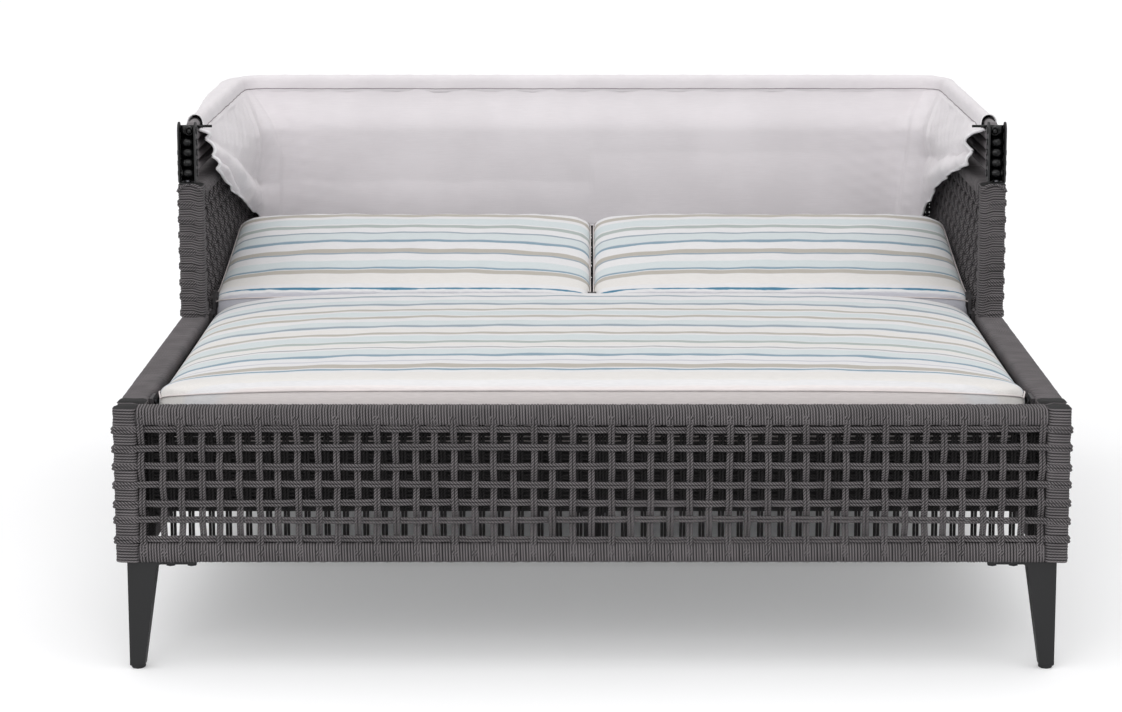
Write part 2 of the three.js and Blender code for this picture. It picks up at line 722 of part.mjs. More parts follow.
// Backrests are made in axes of their own, with the hinge along x and the backrest along y, and then tilted.
const backrestGroup = new THREE.Group();
backrestGroup.applyMatrix4(tilted);
daybed.add(backrestGroup);

const tubeTopUnderHinge = -hingeDrop + backrestTubeHeight / 2;

function backrest() {
  const [z0, z1] = [-hingeDrop - backrestTubeHeight / 2, tubeTopUnderHinge];
  const [x0, x1] = [lugInner, lugOuter];
  const tube = (xa, xb, ya, yb) => block([xa, ya, z0], [xb, yb, z1]);
  const ring = [
    tube(x0, x0 + backrestTubeWidth, -lugRadius - bite, backrestLength),
    tube(x1 - backrestTubeWidth, x1, -lugRadius - bite, backrestLength),
    tube(x0, x1, lugRadius + bite, lugRadius + bite + backrestTubeWidth),
    tube(x0, x1, backrestLength - backrestTubeWidth, backrestLength),
  ];
  const slatTop = z1 + backrestSlatRise;
  const slatRoom = backrestLength - lugRadius - bite - 2 * backrestTubeWidth;
  const slats = Array.from({ length: backrestSlatCount }, (_, n) => {
    const middle = lugRadius + bite + backrestTubeWidth + (slatRoom * (n + 1 / 2)) / backrestSlatCount;
    return block(
      [x0 + backrestTubeWidth - bite, middle - backrestSlatWidth / 2, slatTop - backrestSlatThickness],
      [x1 - backrestTubeWidth + bite, middle + backrestSlatWidth / 2, slatTop],
    );
  });
  const lugOutline = new THREE.Shape();
  lugOutline.moveTo(-lugRadius, z1 - bite);
  lugOutline.lineTo(lugRadius, z1 - bite);
  lugOutline.lineTo(lugRadius, 0);
  lugOutline.absarc(0, 0, lugRadius, 0, Math.PI);
  const lugs = [
    drawnAlongX(lugOutline, x0, x0 + lugThickness),
    drawnAlongX(lugOutline, x1 - lugThickness, x1),
  ];
  const pinHole = rod([x0 - overrun, 0, 0], [x1 + overrun, 0, 0], holeRadius(hingePinRadius));
  return join([...ring, ...slats, ...lugs]).subtract(pinHole);
}

addPair("backrest", backrest(), frameGrey, backrestGroup);

// The beam that the lowered backrests rest on, with a flange on each side rail.
function stopBeam() {
  const z1 = -hingeDrop - backrestTubeHeight / 2 - fitGap;
  const beam = block(
    [-flangeInner - bite, stopBeamPlace, z1 - stopBeamHeight],
    [flangeInner + bite, stopBeamPlace + stopBeamWidth, z1],
  );
  const flange = block(
    [flangeInner, stopMiddle.y - stopFlangeWidth / 2, stopMiddle.z - stopFlangeHeight],
    [flangeOuter, stopMiddle.y + stopFlangeWidth / 2, stopMiddle.z + stopFlangeHeight / 2],
  );
  return join([moved(beam, tilted), flange, mirroredX(flange)]);
}

add("stop_beam", stopBeam(), frameGrey);

// A cushion between two corners, with a crown on top, rounded edges and sides drawn in between its corners.
// lean is how far the top of its front face lies behind the face's bottom.
function cushion([x0, y0, z0], [x1, y1, z1], columns, rows, lean = 0) {
  const [halfX, halfY] = [(x1 - x0) / 2, (y1 - y0) / 2];
  const edge = ((z1 - z0) * (1 - cushionWallShare)) / 2;
  const reach = (half, a, b) => a * (half - cushionPullIn * (1 - b * b) - cushionCorner * (a * b) ** 8);
  const skin = (up) => (u, v) => {
    const a = Math.sin((u - 1 / 2) * Math.PI);
    const b = Math.sin((v - 1 / 2) * Math.PI);
    const fullness = ((1 - a ** 8) * (1 - b ** 8)) ** (1 / 3);
    const crown = cushionCrown * (1 - a * a) * (1 - b * b);
    const z = up ? z1 - edge * (1 - fullness) + crown : z0 + edge * (1 - fullness);
    const leaning = (lean * (1 - b) * (z - z0)) / (2 * (z1 - z0));
    return new THREE.Vector3(x0 + halfX + reach(halfX, a, b), y0 + halfY + reach(halfY, b, a) + leaning, z);
  };
  return solidOf(slab(columns, rows, skin(false), skin(true)));
}

const seatCushionHalf = innerHalfWidth - seatCushionSideGap;
const seatCushionTop = deckTop + fitGap + seatCushionThickness;
add(
  "seat_cushion",
  cushion(
    [-seatCushionHalf, fromFront(panelThickness + seatCushionFrontGap), deckTop + fitGap],
    [seatCushionHalf, fromFront(seatCushionEnd), seatCushionTop],
    10,
    8,
  ),
  stripedFabric,
);
const backCushionBottom = tubeTopUnderHinge + backrestSlatRise + fitGap;
const lugNotch = block(
  [lugInner - overrun, -lugRadius - lugNotchGap, backCushionBottom - overrun],
  [lugInner + lugThickness + lugNotchGap, lugRadius + lugNotchGap, lugRadius + lugNotchGap],
);
addPair(
  "back_cushion",
  cushion(
    [lugInner, -backCushionOverhang, backCushionBottom],
    [
      lugOuter - lugThickness - backCushionSideGap,
      backCushionLength - backCushionOverhang,
      backCushionBottom + backCushionThickness,
    ],
    9,
    8,
    backCushionLean,
  ).subtract(lugNotch),
  stripedFabric,
  backrestGroup,
);

// The clevis on an arm: a bent plate with round upper ends, the pins of the bows and the tongue below it.
function clevis() {
  const [x0, x1] = [clevisMiddle - clevisWidth / 2, clevisMiddle + clevisWidth / 2];
  const [y0, y1] = [pivotPlace - clevisDepth / 2, pivotPlace + clevisDepth / 2];
  const [z0, z1] = [armTop + fitGap, armTop + clevisRise];
  const bent = new THREE.Shape();
  bent.moveTo(x0, z1);
  bent.lineTo(x0, z0 + clevisCorner);
  bent.absarc(x0 + clevisCorner, z0 + clevisCorner, clevisCorner, Math.PI, (3 * Math.PI) / 2);
  bent.absarc(x1 - clevisCorner, z0 + clevisCorner, clevisCorner, (3 * Math.PI) / 2, 2 * Math.PI);
  bent.lineTo(x1, z1);
  bent.lineTo(x1 - cheekThickness, z1);
  bent.lineTo(x1 - cheekThickness, z0 + webThickness);
  bent.lineTo(x0 + cheekThickness, z0 + webThickness);
  bent.lineTo(x0 + cheekThickness, z1);
  const sideView = new THREE.Shape();
  sideView.moveTo(y0, z0);
  sideView.lineTo(y1, z0);
  sideView.lineTo(y1, z1 - clevisDepth / 2);
  sideView.absarc(pivotPlace, z1 - clevisDepth / 2, clevisDepth / 2, 0, Math.PI);
  const plate = drawnAlongY(bent, y0, y1).intersect(drawnAlongX(sideView, x0 - overrun, x1 + overrun, 6));
  const across = (n, xa, xb, radius, sides) =>
    rod([xa, pivotPlace, pivotHeight(n)], [xb, pivotPlace, pivotHeight(n)], radius, sides);
  const pins = Array.from({ length: bowCount }, (_, n) => {
    const innerHead = across(n, x0 - rivetHeadHeight, x0 + bite, rivetHeadRadius, boltSides);
    if (n >= bowCount - stubPinCount) {
      return [innerHead, across(n, x0, tabMiddle(n) + tabThickness / 2 + fitGap, pivotPinRadius, pinSides)];
    }
    const outerHead = across(n, x1 - bite, x1 + rivetHeadHeight, rivetHeadRadius, boltSides);
    return [innerHead, outerHead, across(n, x0, x1, pivotPinRadius, pinSides)];
  });
  return join([plate, spigot(), ...pins.flat()]);
}

// The bows' flattened ends lie side by side in the clevis, the uppermost bow's nearest the bed.
const tabMiddle = (n) => clevisMiddle + (topBow / 2 - n) * tabPitch;

addPair("canopy_clevis", clevis(), legBlack);

// The right-hand half of a bow's middle line, from a distance behind the pivots to the end of its bend.
function bowStations(start, radius) {
  const arc = Array.from({ length: bendSteps + 1 }, (_, n) => (n / bendSteps) * (Math.PI / 2));
  return [
    { x: clevisMiddle, y: pivotPlace + start, angle: 0, half: radius },
    ...arc.map((angle) => ({
      x: clevisMiddle - bowBend + bowBend * Math.cos(angle),
      y: bowRear - bowBend + bowBend * Math.sin(angle),
      angle,
      half: radius,
    })),
  ];
}

// A tube through stations on the right and their mirror images on the left. half is its half width there.
function bowTube(right, radius, height) {
  const left = right.map(({ x, y, angle, half }) => ({ x: -x, y, angle: Math.PI - angle, half })).reverse();
  const rings = [...right, ...left].map(({ x, y, angle, half }) =>
    Array.from({ length: tubeSides }, (_, n) => {
      const turn = (2 * Math.PI * n) / tubeSides;
      const out = half * Math.cos(turn);
      return new THREE.Vector3(
        x + out * Math.cos(angle),
        y + out * Math.sin(angle),
        height + radius * Math.sin(turn),
      );
    }),
  );
  return solidOf(loft(rings));
}

// A bow's flattened end with its pin hole.
function bowTab(n, length) {
  const height = pivotHeight(n);
  const shape = new THREE.Shape();
  const end = pivotPlace + length - flattenedLength + bite;
  shape.moveTo(end, height + bowRadius);
  shape.absarc(pivotPlace, height, bowRadius, Math.PI / 2, (3 * Math.PI) / 2);
  shape.lineTo(end, height - bowRadius);
  const x0 = tabMiddle(n) - tabThickness / 2;
  const pinHole = rod(
    [x0 - overrun, pivotPlace, height],
    [x0 + tabThickness + overrun, pivotPlace, height],
    holeRadius(pivotPinRadius),
  );
  return drawnAlongX(shape, x0, x0 + tabThickness).subtract(pinHole);
}

// A saddle that stands the lowest bow on the rear panel.
function saddle() {
  return block(
    [saddlePlace - saddleWidth / 2, bowRear - bowRadius, armTop + fitGap],
    [saddlePlace + saddleWidth / 2, bowRear + bowRadius, pivotHeight(0)],
  );
}

// The pin across the uppermost bow that keeps its sleeve in place.
const stopPin = () =>
  rod(
    [clevisMiddle - stopPinInside, pivotPlace + stopPinPlace, pivotHeight(topBow)],
    [clevisMiddle + stopPinOutside, pivotPlace + stopPinPlace, pivotHeight(topBow)],
    stopPinRadius,
  );

function bow(n) {
  const length = n === topBow ? topTabLength : tabLength;
  const pieces = [bowTab(n, length)];
  if (n === 0) pieces.push(saddle());
  if (n === topBow) pieces.push(stopPin());
  const flattened = {
    x: tabMiddle(n),
    y: pivotPlace + length - flattenedLength,
    angle: 0,
    half: tabThickness / 2,
  };
  const tube = bowTube([flattened, ...bowStations(length, bowRadius)], bowRadius, pivotHeight(n));
  return join([tube, ...pieces, ...pieces.map(mirroredX)]);
}

for (let n = 0; n < bowCount; n++) add("canopy_bow_" + (n + 1), bow(n), bowGrey);

// The sleeve on the uppermost bow, open at both ends.
function sleeve() {
  const inside = bowRadius + sleeveGap;
  const outside = inside + sleeveThickness;
  const tube = (start, radius) => bowTube(bowStations(start, radius), radius, pivotHeight(topBow));
  return tube(sleeveStart, outside).subtract(tube(sleeveStart - overrun, inside));
}

add("canopy_sleeve", sleeve(), clothWhite);

// Hanging cloth. It leaves the bows' inner sides, passes inside the arms or the rear panel, and falls in
// folds that deepen towards its hem. inset is measured inwards from the bows' middle.
const clothTop = pivotHeight(topBow) - clothTopDrop;
const bowSideInset = bowRadius + fitGap + clothThickness / 2;

function clothInset(z, wallInset, share) {
  const fallen = THREE.MathUtils.smoothstep(clothTop - z, 0, clothTop - armTop);
  return bowSideInset + (wallInset - bowSideInset) * fallen + clothLean * share * fallen;
}

const fold = (depth, count, along, share) => depth * share * Math.sin(2 * Math.PI * count * along);

function rearCloth() {
  const half = clevisMiddle - bowBend - clothCornerGap / 2;
  const wallInset = bowRear - innerRear + clothWallGap + rearFoldDepth + clothThickness / 2;
  const skin = (side) => (u, v) => {
    const z = clothTop - rearClothDrop * v;
    const inset = clothInset(z, wallInset, v) + fold(rearFoldDepth, rearFoldCount, u, v);
    return new THREE.Vector3(half * (2 * u - 1), bowRear - inset + (side * clothThickness) / 2, z);
  };
  return solidOf(slab(foldSteps * rearFoldCount, 3, skin(-1), skin(1)));
}

function sideCloth() {
  const [y0, y1] = [pivotPlace + sideClothStart, bowRear - bowBend - clothCornerGap / 2];
  const wallInset = clevisMiddle - innerHalfWidth + clothWallGap + sideFoldDepth + clothThickness / 2;
  const skin = (side) => (u, v) => {
    const drop = sideClothNearDrop + (sideClothFarDrop - sideClothNearDrop) * u;
    const z = clothTop - drop * v;
    const inset = clothInset(z, wallInset, v) + fold(sideFoldDepth, sideFoldCount, u, v);
    return new THREE.Vector3(clevisMiddle - inset + (side * clothThickness) / 2, y0 + (y1 - y0) * u, z);
  };
  return solidOf(slab(foldSteps * sideFoldCount, 4, skin(-1), skin(1)));
}

add("canopy_rear_cloth", rearCloth(), clothWhite);
addPair("canopy_side_cloth", sideCloth(), clothWhite);

export default daybed;
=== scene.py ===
import math
import bmesh
import bpy
import numpy as np
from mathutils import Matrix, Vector

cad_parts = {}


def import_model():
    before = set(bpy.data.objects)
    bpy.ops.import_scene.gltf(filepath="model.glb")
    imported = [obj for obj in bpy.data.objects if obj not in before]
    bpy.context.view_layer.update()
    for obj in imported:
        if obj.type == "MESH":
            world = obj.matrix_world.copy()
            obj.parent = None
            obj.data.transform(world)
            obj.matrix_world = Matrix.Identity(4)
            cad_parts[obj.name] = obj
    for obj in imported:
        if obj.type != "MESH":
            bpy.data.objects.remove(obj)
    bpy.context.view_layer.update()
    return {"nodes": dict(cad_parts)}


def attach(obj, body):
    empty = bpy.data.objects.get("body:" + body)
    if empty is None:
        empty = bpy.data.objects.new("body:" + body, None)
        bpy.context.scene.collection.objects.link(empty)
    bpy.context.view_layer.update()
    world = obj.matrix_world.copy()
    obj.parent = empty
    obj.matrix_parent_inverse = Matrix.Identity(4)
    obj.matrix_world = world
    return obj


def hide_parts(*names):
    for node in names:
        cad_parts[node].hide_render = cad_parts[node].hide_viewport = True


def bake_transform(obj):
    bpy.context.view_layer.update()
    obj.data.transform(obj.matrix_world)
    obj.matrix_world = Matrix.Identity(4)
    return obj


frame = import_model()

TAU = 2 * math.pi

# Sizes in metres, the same as the CAD model's.
HALF_W, HALF_D = 0.760, 0.825
PANEL, POST, LOW_RAIL, HIGH_RAIL = 0.047, 0.038, 0.032, 0.028
BASE, SEAT_TOP, ARM_TOP = 0.178, 0.430, 0.675
GAP = 0.0003
ROPE = 0.00265
WARP_PITCH, WEFT_PITCH, STRAND = 0.031, 0.0305, 0.011
WIND_PITCH, WIND_DEPTH = 0.0046, 0.0022
SIDE_LENGTH = 2 * HALF_D - 2 * PANEL - 2 * GAP
ARM_START = 0.794 - PANEL - GAP
PIVOT_Y = -HALF_D + 0.794 + 0.016
BOW_R, SLEEVE_ROOM, TOP_BOW = 0.0094, 0.0022, 4
PIVOT_Z = [ARM_TOP + 0.0204 + n * (2 * BOW_R + GAP) + (SLEEVE_ROOM if n == TOP_BOW else 0) for n in range(5)]
# The clevis: half its slot, half its width over the cheeks, and the pitch of the bows' lanes in it.
SLOT, CHEEK, LANE = 0.0127, 0.0165, 0.0052
CLEVIS_X = HALF_W - 0.002 - CHEEK
BOW_REAR, BEND = HALF_D - 0.018, 0.052
SLEEVE_START = 0.112
HINGE, TILT = (0.0, 0.080, 0.445), math.radians(9.5)
# The seat cushion's front and rear, from the bed's front, and its underside.
SEAT_FRONT, SEAT_REAR, SEAT_FLOOR = 0.065, 0.886, 0.3523


def srgb(*levels):
    shares = [level / 255 for level in levels]
    return tuple(c / 12.92 if c <= 0.04045 else ((c + 0.055) / 1.055) ** 2.4 for c in shares) + (1.0,)


def ease(t):
    """A smooth step from 0 to 1."""
    t = np.clip(t, 0, 1)
    return t * t * (3 - 2 * t)


def unit(vectors):
    return vectors / np.linalg.norm(vectors, axis=1)[:, None]


def run_along(path):
    """The length along a path at each of its points."""
    return np.concatenate([[0], np.cumsum(np.linalg.norm(np.diff(path, axis=0), axis=1))])


def grid_of(u, v):
    return np.stack(np.broadcast_arrays(u, v), axis=-1).astype(float)


# Materials.
class Shader:
    def __init__(self, name, color, roughness, metallic=0.0, sheen=0.0):
        self.mat = bpy.data.materials.new(name)
        self.mat.use_nodes = True
        self.nodes, self.links = self.mat.node_tree.nodes, self.mat.node_tree.links
        self.bsdf = self.nodes["Principled BSDF"]
        plain = {"Base Color": color, "Roughness": roughness, "Metallic": metallic, "Sheen Weight": sheen}
        for key, value in plain.items():
            self.bsdf.inputs[key].default_value = value
        self.mat.diffuse_color = color

    def add(self, kind, inputs=None, **props):
        made = self.nodes.new("ShaderNode" + kind)
        for key, value in props.items():
            setattr(made, key, value)
        for key, value in (inputs or {}).items():
            self.put(made.inputs[key], value)
        return made

    def put(self, socket, value):
        if isinstance(value, bpy.types.NodeSocket):
            self.links.new(value, socket)
        else:
            socket.default_value = value

    def math(self, op, a, b=0.0):
        return self.add("Math", {0: a, 1: b}, operation=op).outputs[0]

    def plus(self, a, b):
        return self.math("ADD", a, b)

    def minus(self, a, b):
        return self.math("SUBTRACT", a, b)

    def times(self, a, b):
        return self.math("MULTIPLY", a, b)

    def mix(self, factor, a, b, blend="MIX"):
        made = self.add("Mix", {0: factor, 6: a, 7: b}, data_type="RGBA", blend_type=blend)
        return made.outputs[2]

    def noise(self, scale, detail=2.0, vector=None):
        made = self.add("TexNoise", {"Scale": scale, "Detail": detail})
        self.put(made.inputs["Vector"], vector or self.coord("Object"))
        return made.outputs["Fac"]

    def stretched(self, where, scale, detail=2.0):
        """Noise with its own scale along each axis."""
        made = self.add("TexNoise", {"Scale": 1.0, "Detail": detail})
        mapping = self.add("Mapping", {"Vector": where, "Scale": scale})
        self.put(made.inputs["Vector"], mapping.outputs[0])
        return made.outputs["Fac"]

    def coord(self, which):
        return self.add("TexCoord").outputs[which]

    def parts(self, vector):
        made = self.add("SeparateXYZ", {0: vector})
        return made.outputs[0], made.outputs[1], made.outputs[2]

    def fit(self, value, lo, hi, to_lo=0.0, to_hi=1.0, smooth=True):
        made = self.add("MapRange", {0: value, 1: lo, 2: hi, 3: to_lo, 4: to_hi})
        made.interpolation_type = "SMOOTHSTEP" if smooth else "LINEAR"
        return made.outputs[0]

    def bump(self, height, strength, distance):
        made = self.add("Bump", {"Height": height, "Strength": strength, "Distance": distance})
        self.put(self.bsdf.inputs["Normal"], made.outputs[0])

    def color(self, value):
        self.put(self.bsdf.inputs["Base Color"], value)

    def rough(self, value):
        self.put(self.bsdf.inputs["Roughness"], value)


def rope_material(name, dark, light):
    """Three-ply cord: u runs once round the cord, v is the length along it in metres. Where v is above 5 the
    cord is wound side by side, and u grows by a half from one turn to the next. The colour goes from dark in
    the grooves between the plies and in the valleys between the windings to light on the crests: painted
    shade."""
    s = Shader(name, light, 0.85)
    u, v, _ = s.parts(s.coord("UV"))
    lay = s.plus(s.times(u, 3 * TAU), s.times(v, TAU / 0.0050))
    ply = s.math("POWER", s.math("SINE", s.times(lay, 0.5)), 2.0)
    # Dark in each valley between two windings: painted shade.
    painted_valley_shade = s.math("ABSOLUTE", s.math("SINE", s.times(u, TAU)))
    wound_ply = s.times(painted_valley_shade, s.plus(s.times(ply, 0.45), 0.55))
    is_wound = s.math("GREATER_THAN", v, 5.0)
    ply = s.plus(s.times(ply, s.minus(1.0, is_wound)), s.times(wound_ply, is_wound))
    fibres = s.noise(900, 2)
    patches = s.noise(26, 3)
    tone = s.plus(s.times(ply, 0.9), s.times(fibres, 0.2))
    tone = s.times(tone, s.fit(patches, 0.3, 0.7, 0.90, 1.05))
    # Dark in the grooves, light on the crests: painted shade.
    s.color(s.mix(s.fit(tone, 0.22, 0.98, smooth=False), dark, light))
    s.rough(s.fit(fibres, 0.3, 0.7, 0.72, 0.95))
    s.bump(s.plus(ply, s.times(fibres, 0.35)), 0.55, 0.0007)
    return s.mat


def coat_material(name, color, roughness, metallic, grain=1600):
    s = Shader(name, color, roughness, metallic)
    speck = s.noise(grain, 2)
    wear = s.noise(9, 4)
    darker = tuple(c * 0.72 for c in color[:3]) + (1.0,)
    s.color(s.mix(s.fit(wear, 0.35, 0.7), color, darker))
    s.rough(s.plus(s.fit(speck, 0.2, 0.8, -0.08, 0.1), roughness))
    s.bump(speck, 0.12, 0.0003)
    return s.mat


def weave(s, scale, vector):
    """A plain cloth weave's height, from two crossed waves."""
    x, y, z = s.parts(vector)
    warp = s.math("SINE", s.times(x, TAU * scale))
    weft = s.math("SINE", s.times(s.plus(y, z), TAU * scale))
    return s.times(warp, weft)


def canopy_material():
    pale, shade = srgb(231, 226, 229), srgb(223, 218, 221)
    s = Shader("canopy_fabric", pale, 0.9, sheen=0.2)
    where = s.coord("Object")
    cloud = s.noise(7, 4, where)
    slub = s.stretched(where, (40, 40, 900))
    tone = s.plus(s.times(cloud, 0.7), s.times(slub, 0.3))
    s.color(s.mix(s.fit(tone, 0.35, 0.68), shade, pale))
    s.bump(s.plus(weave(s, 900, where), s.times(slub, 0.8)), 0.25, 0.0004)
    s.bsdf.inputs["Subsurface Weight"].default_value = 0.08
    s.bsdf.inputs["Subsurface Radius"].default_value = (0.004, 0.004, 0.004)
    return s.mat


def stripe_material(name, origin, tilt, middle_x, half_x, bow, bands):
    """bands: (middle, half width, softness before, softness after, colour, waviness if any), in metres from
    origin along a direction tilted up from +Y. The bands bow forwards near the cushion's two ends."""
    base, shaded = srgb(222, 221, 222), srgb(213, 213, 216)
    s = Shader(name, base, 0.88, sheen=0.15)
    where = s.coord("Object")
    x, y, z = s.parts(where)
    along = s.minus(y, origin[1])
    if tilt:
        rise = s.minus(z, origin[2])
        along = s.plus(s.times(along, math.cos(tilt)), s.times(rise, math.sin(tilt)))
    end = s.math("DIVIDE", s.minus(s.math("ABSOLUTE", x), middle_x), half_x)
    along = s.plus(along, s.times(s.math("POWER", s.math("ABSOLUTE", end), 7.0), bow))
    drift = s.minus(s.stretched(where, (14, 3, 3), 3.0), 0.5)
    along = s.plus(along, s.times(drift, 0.004))
    threads = s.stretched(where, (60, 1300, 1300))
    along = s.plus(along, s.times(s.minus(threads, 0.5), 0.003))
    out = s.mix(s.fit(s.noise(5, 3, where), 0.3, 0.7, 0.0, 0.5), base, shaded)
    for middle, half, before, after, color, *wave in bands:
        off = s.minus(along, middle)
        edge = s.plus(s.times(drift, wave[0] if wave else 0.0), half)
        rise_in = s.fit(s.plus(off, edge), -before, 0.0004)
        fall_out = s.fit(s.minus(off, edge), -0.0004, after, 1.0, 0.0)
        mask = s.times(rise_in, fall_out)
        out = s.mix(mask, out, color)
    tint = s.fit(threads, 0.25, 0.75, 0.93, 1.03)
    s.color(s.mix(1.0, out, s.add("CombineColor", {0: tint, 1: tint, 2: tint}).outputs[0], "MULTIPLY"))
    s.bump(s.plus(weave(s, 700, where), threads), 0.3, 0.0005)
    return s.mat


# The dark colour is painted shade in the cords' grooves and valleys.
rope = rope_material("dark_rope", srgb(7, 6, 7), srgb(118, 113, 115))
# A darker copy of the rope for the cords behind the weave: painted shade.
shade_darkened_rope = rope_material("shade_darkened_rope", srgb(12, 11, 12), srgb(52, 49, 50))
frame_coat = coat_material("frame_coat", srgb(58, 55, 57), 0.5, 0.2)
leg_coat = coat_material("leg_coat", srgb(17, 17, 19), 0.5, 0.0)
bolt_steel = coat_material("bolt_steel", srgb(34, 34, 36), 0.35, 0.7, 2500)
glide_plastic = coat_material("glide_plastic", srgb(22, 22, 24), 0.5, 0.0)
bow_coat = coat_material("bow_coat", srgb(128, 123, 125), 0.45, 0.25)
bright = coat_material("bright_steel", srgb(84, 84, 88), 0.25, 0.9, 2500)
gloss_black = coat_material("gloss_black", srgb(9, 9, 10), 0.2, 0.0, 2500)
gloss_black.node_tree.nodes["Principled BSDF"].inputs["Specular IOR Level"].default_value = 0.3
piping = coat_material("piping", srgb(214, 206, 205), 0.85, 0.0)
canopy_fabric = canopy_material()
thread = coat_material("hem_thread", srgb(238, 236, 238), 0.8, 0.0)
# A darker cord colour for the sleeve's seam: a painted shade line in the seam's crease.
painted_seam_shade = coat_material("painted_seam_shade", srgb(150, 142, 146), 0.8, 0.0)

GREY, TAN, STEEL = srgb(162, 161, 164), srgb(176, 170, 161), srgb(140, 154, 165)
BLUE, TEAL, AQUA = srgb(124, 150, 166), srgb(66, 122, 150), srgb(202, 210, 212)
LILAC, CREAM, GREEN = srgb(192, 192, 200), srgb(221, 218, 215), srgb(164, 173, 170)
BORDER = srgb(227, 220, 219)
SEAT_BANDS = [
    (0.872, 0.006, 0.003, 0.003, GREY), (0.812, 0.006, 0.003, 0.003, STEEL),
    (0.748, 0.014, 0.006, 0.004, AQUA), (0.716, 0.007, 0.002, 0.010, STEEL, 0.004),
    (0.684, 0.011, 0.004, 0.004, CREAM), (0.657, 0.007, 0.003, 0.003, TAN),
    (0.618, 0.016, 0.006, 0.006, AQUA), (0.583, 0.008, 0.003, 0.004, TAN),
    (0.522, 0.018, 0.003, 0.008, AQUA), (0.492, 0.0065, 0.002, 0.010, STEEL, 0.004),
    (0.456, 0.014, 0.004, 0.004, CREAM), (0.427, 0.007, 0.003, 0.004, TAN),
    (0.385, 0.018, 0.006, 0.006, AQUA), (0.352, 0.007, 0.003, 0.004, GREEN),
    (0.330, 0.010, 0.003, 0.003, CREAM), (0.307, 0.003, 0.002, 0.002, GREY),
    (0.274, 0.015, 0.003, 0.010, AQUA), (0.246, 0.0060, 0.001, 0.008, BLUE, 0.010),
    (0.206, 0.003, 0.002, 0.002, LILAC), (0.168, 0.011, 0.004, 0.004, TAN),
    (0.143, 0.0042, 0.002, 0.002, BLUE, 0.006), (0.105, 0.018, 0.004, 0.004, CREAM),
    (0.052, 0.020, 0.003, 0.003, BORDER),
]
BACK_BANDS = [
    (0.440, 0.003, 0.001, 0.003, BLUE), (0.402, 0.007, 0.004, 0.004, TAN),
    (0.360, 0.016, 0.004, 0.004, AQUA), (0.327, 0.007, 0.004, 0.004, GREEN),
    (0.286, 0.0035, 0.002, 0.002, STEEL), (0.262, 0.014, 0.002, 0.012, AQUA),
    (0.236, 0.0050, 0.001, 0.008, BLUE, 0.006), (0.182, 0.009, 0.003, 0.003, TAN),
    (0.168, 0.003, 0.002, 0.002, STEEL), (0.112, 0.014, 0.002, 0.008, AQUA),
    (0.090, 0.003, 0.001, 0.006, BLUE, 0.002), (0.074, 0.008, 0.003, 0.003, TAN),
    (0.040, 0.020, 0.004, 0.004, CREAM), (0.0010, 0.0016, 0.001, 0.002, TEAL, 0.008),
    (-0.019, 0.012, 0.002, 0.003, LILAC),
]
seat_fabric = stripe_material("seat_stripes", (0, -HALF_D, 0), 0.0, 0.0, 0.705, 0.018, SEAT_BANDS)
back_fabric = stripe_material("back_stripes", HINGE, TILT, 0.355, 0.353, 0.006, BACK_BANDS)


def linked(name, data):
    made = bpy.data.objects.new(name, data)
    bpy.context.scene.collection.objects.link(made)
    return made


# Mesh making. A heap collects grids of points and makes one object of them.
class Heap:
    def __init__(self):
        self.points, self.faces, self.uvs, self.count = [], [], [], 0

    def grid(self, points, uv=None, closed=False):
        """points: rows x columns x 3; uv: rows x (columns or columns + 1 where closed) x 2."""
        rows, cols = points.shape[:2]
        uv = np.zeros((rows, cols + closed, 2)) if uv is None else uv
        index = np.arange(rows * cols).reshape(rows, cols) + self.count
        if closed:
            index = np.concatenate([index, index[:, :1]], axis=1)
        quads = np.stack([index[:-1, :-1], index[:-1, 1:], index[1:, 1:], index[1:, :-1]], axis=-1)
        corner = np.stack([uv[:-1, :-1], uv[:-1, 1:], uv[1:, 1:], uv[1:, :-1]], axis=2)
        self.points.append(points.reshape(-1, 3))
        self.faces.extend(quads.reshape(-1, 4).tolist())
        self.uvs.append(corner.reshape(-1, 2))
        self.count += rows * cols
        return index

    def cap(self, ring):
        self.faces.append([int(i) for i in ring])
        self.uvs.append(np.zeros((len(ring), 2)))

    def cap_ends(self, index):
        self.cap(index[0, :-1][::-1])
        self.cap(index[-1, :-1])

    def tube(self, path, radius, sides=8, ref=(0, 0, 1), capped=True):
        """A cord along path (n x 3). ref is a direction that the path never runs along."""
        path = np.asarray(path, float)
        along = unit(np.gradient(path, axis=0))
        side = unit(np.cross(along, ref))
        up = np.cross(side, along)
        turn = np.arange(sides) * TAU / sides
        radius = np.broadcast_to(radius, len(path))[:, None, None]
        ring = side[:, None] * np.cos(turn)[None, :, None] + up[:, None] * np.sin(turn)[None, :, None]
        uv = grid_of(np.arange(sides + 1)[None, :] / sides, run_along(path)[:, None])
        index = self.grid(path[:, None] + ring * radius, uv, closed=True)
        if capped:
            self.cap_ends(index)

    def make(self, name, material, body, slot, replaces=(), place=None, smooth=True):
        points = np.concatenate(self.points)
        flip = False
        if place is not None:
            matrix, move = place
            points = points @ matrix.T + move
            flip = np.linalg.det(matrix) < 0
        mesh = bpy.data.meshes.new(name)
        mesh.from_pydata(points.tolist(), [], self.faces)
        layer = mesh.uv_layers.new(name="UVMap")
        layer.data.foreach_set("uv", np.concatenate(self.uvs).ravel())
        if flip:
            mesh.flip_normals()
        mesh.polygons.foreach_set("use_smooth", np.full(len(mesh.polygons), smooth))
        mesh.materials.append(material)
        mesh.update()
        made = linked(name, mesh)
        if body:
            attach(made, body)
        if replaces:
            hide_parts(*replaces)
        return made


rng = np.random.default_rng(26)


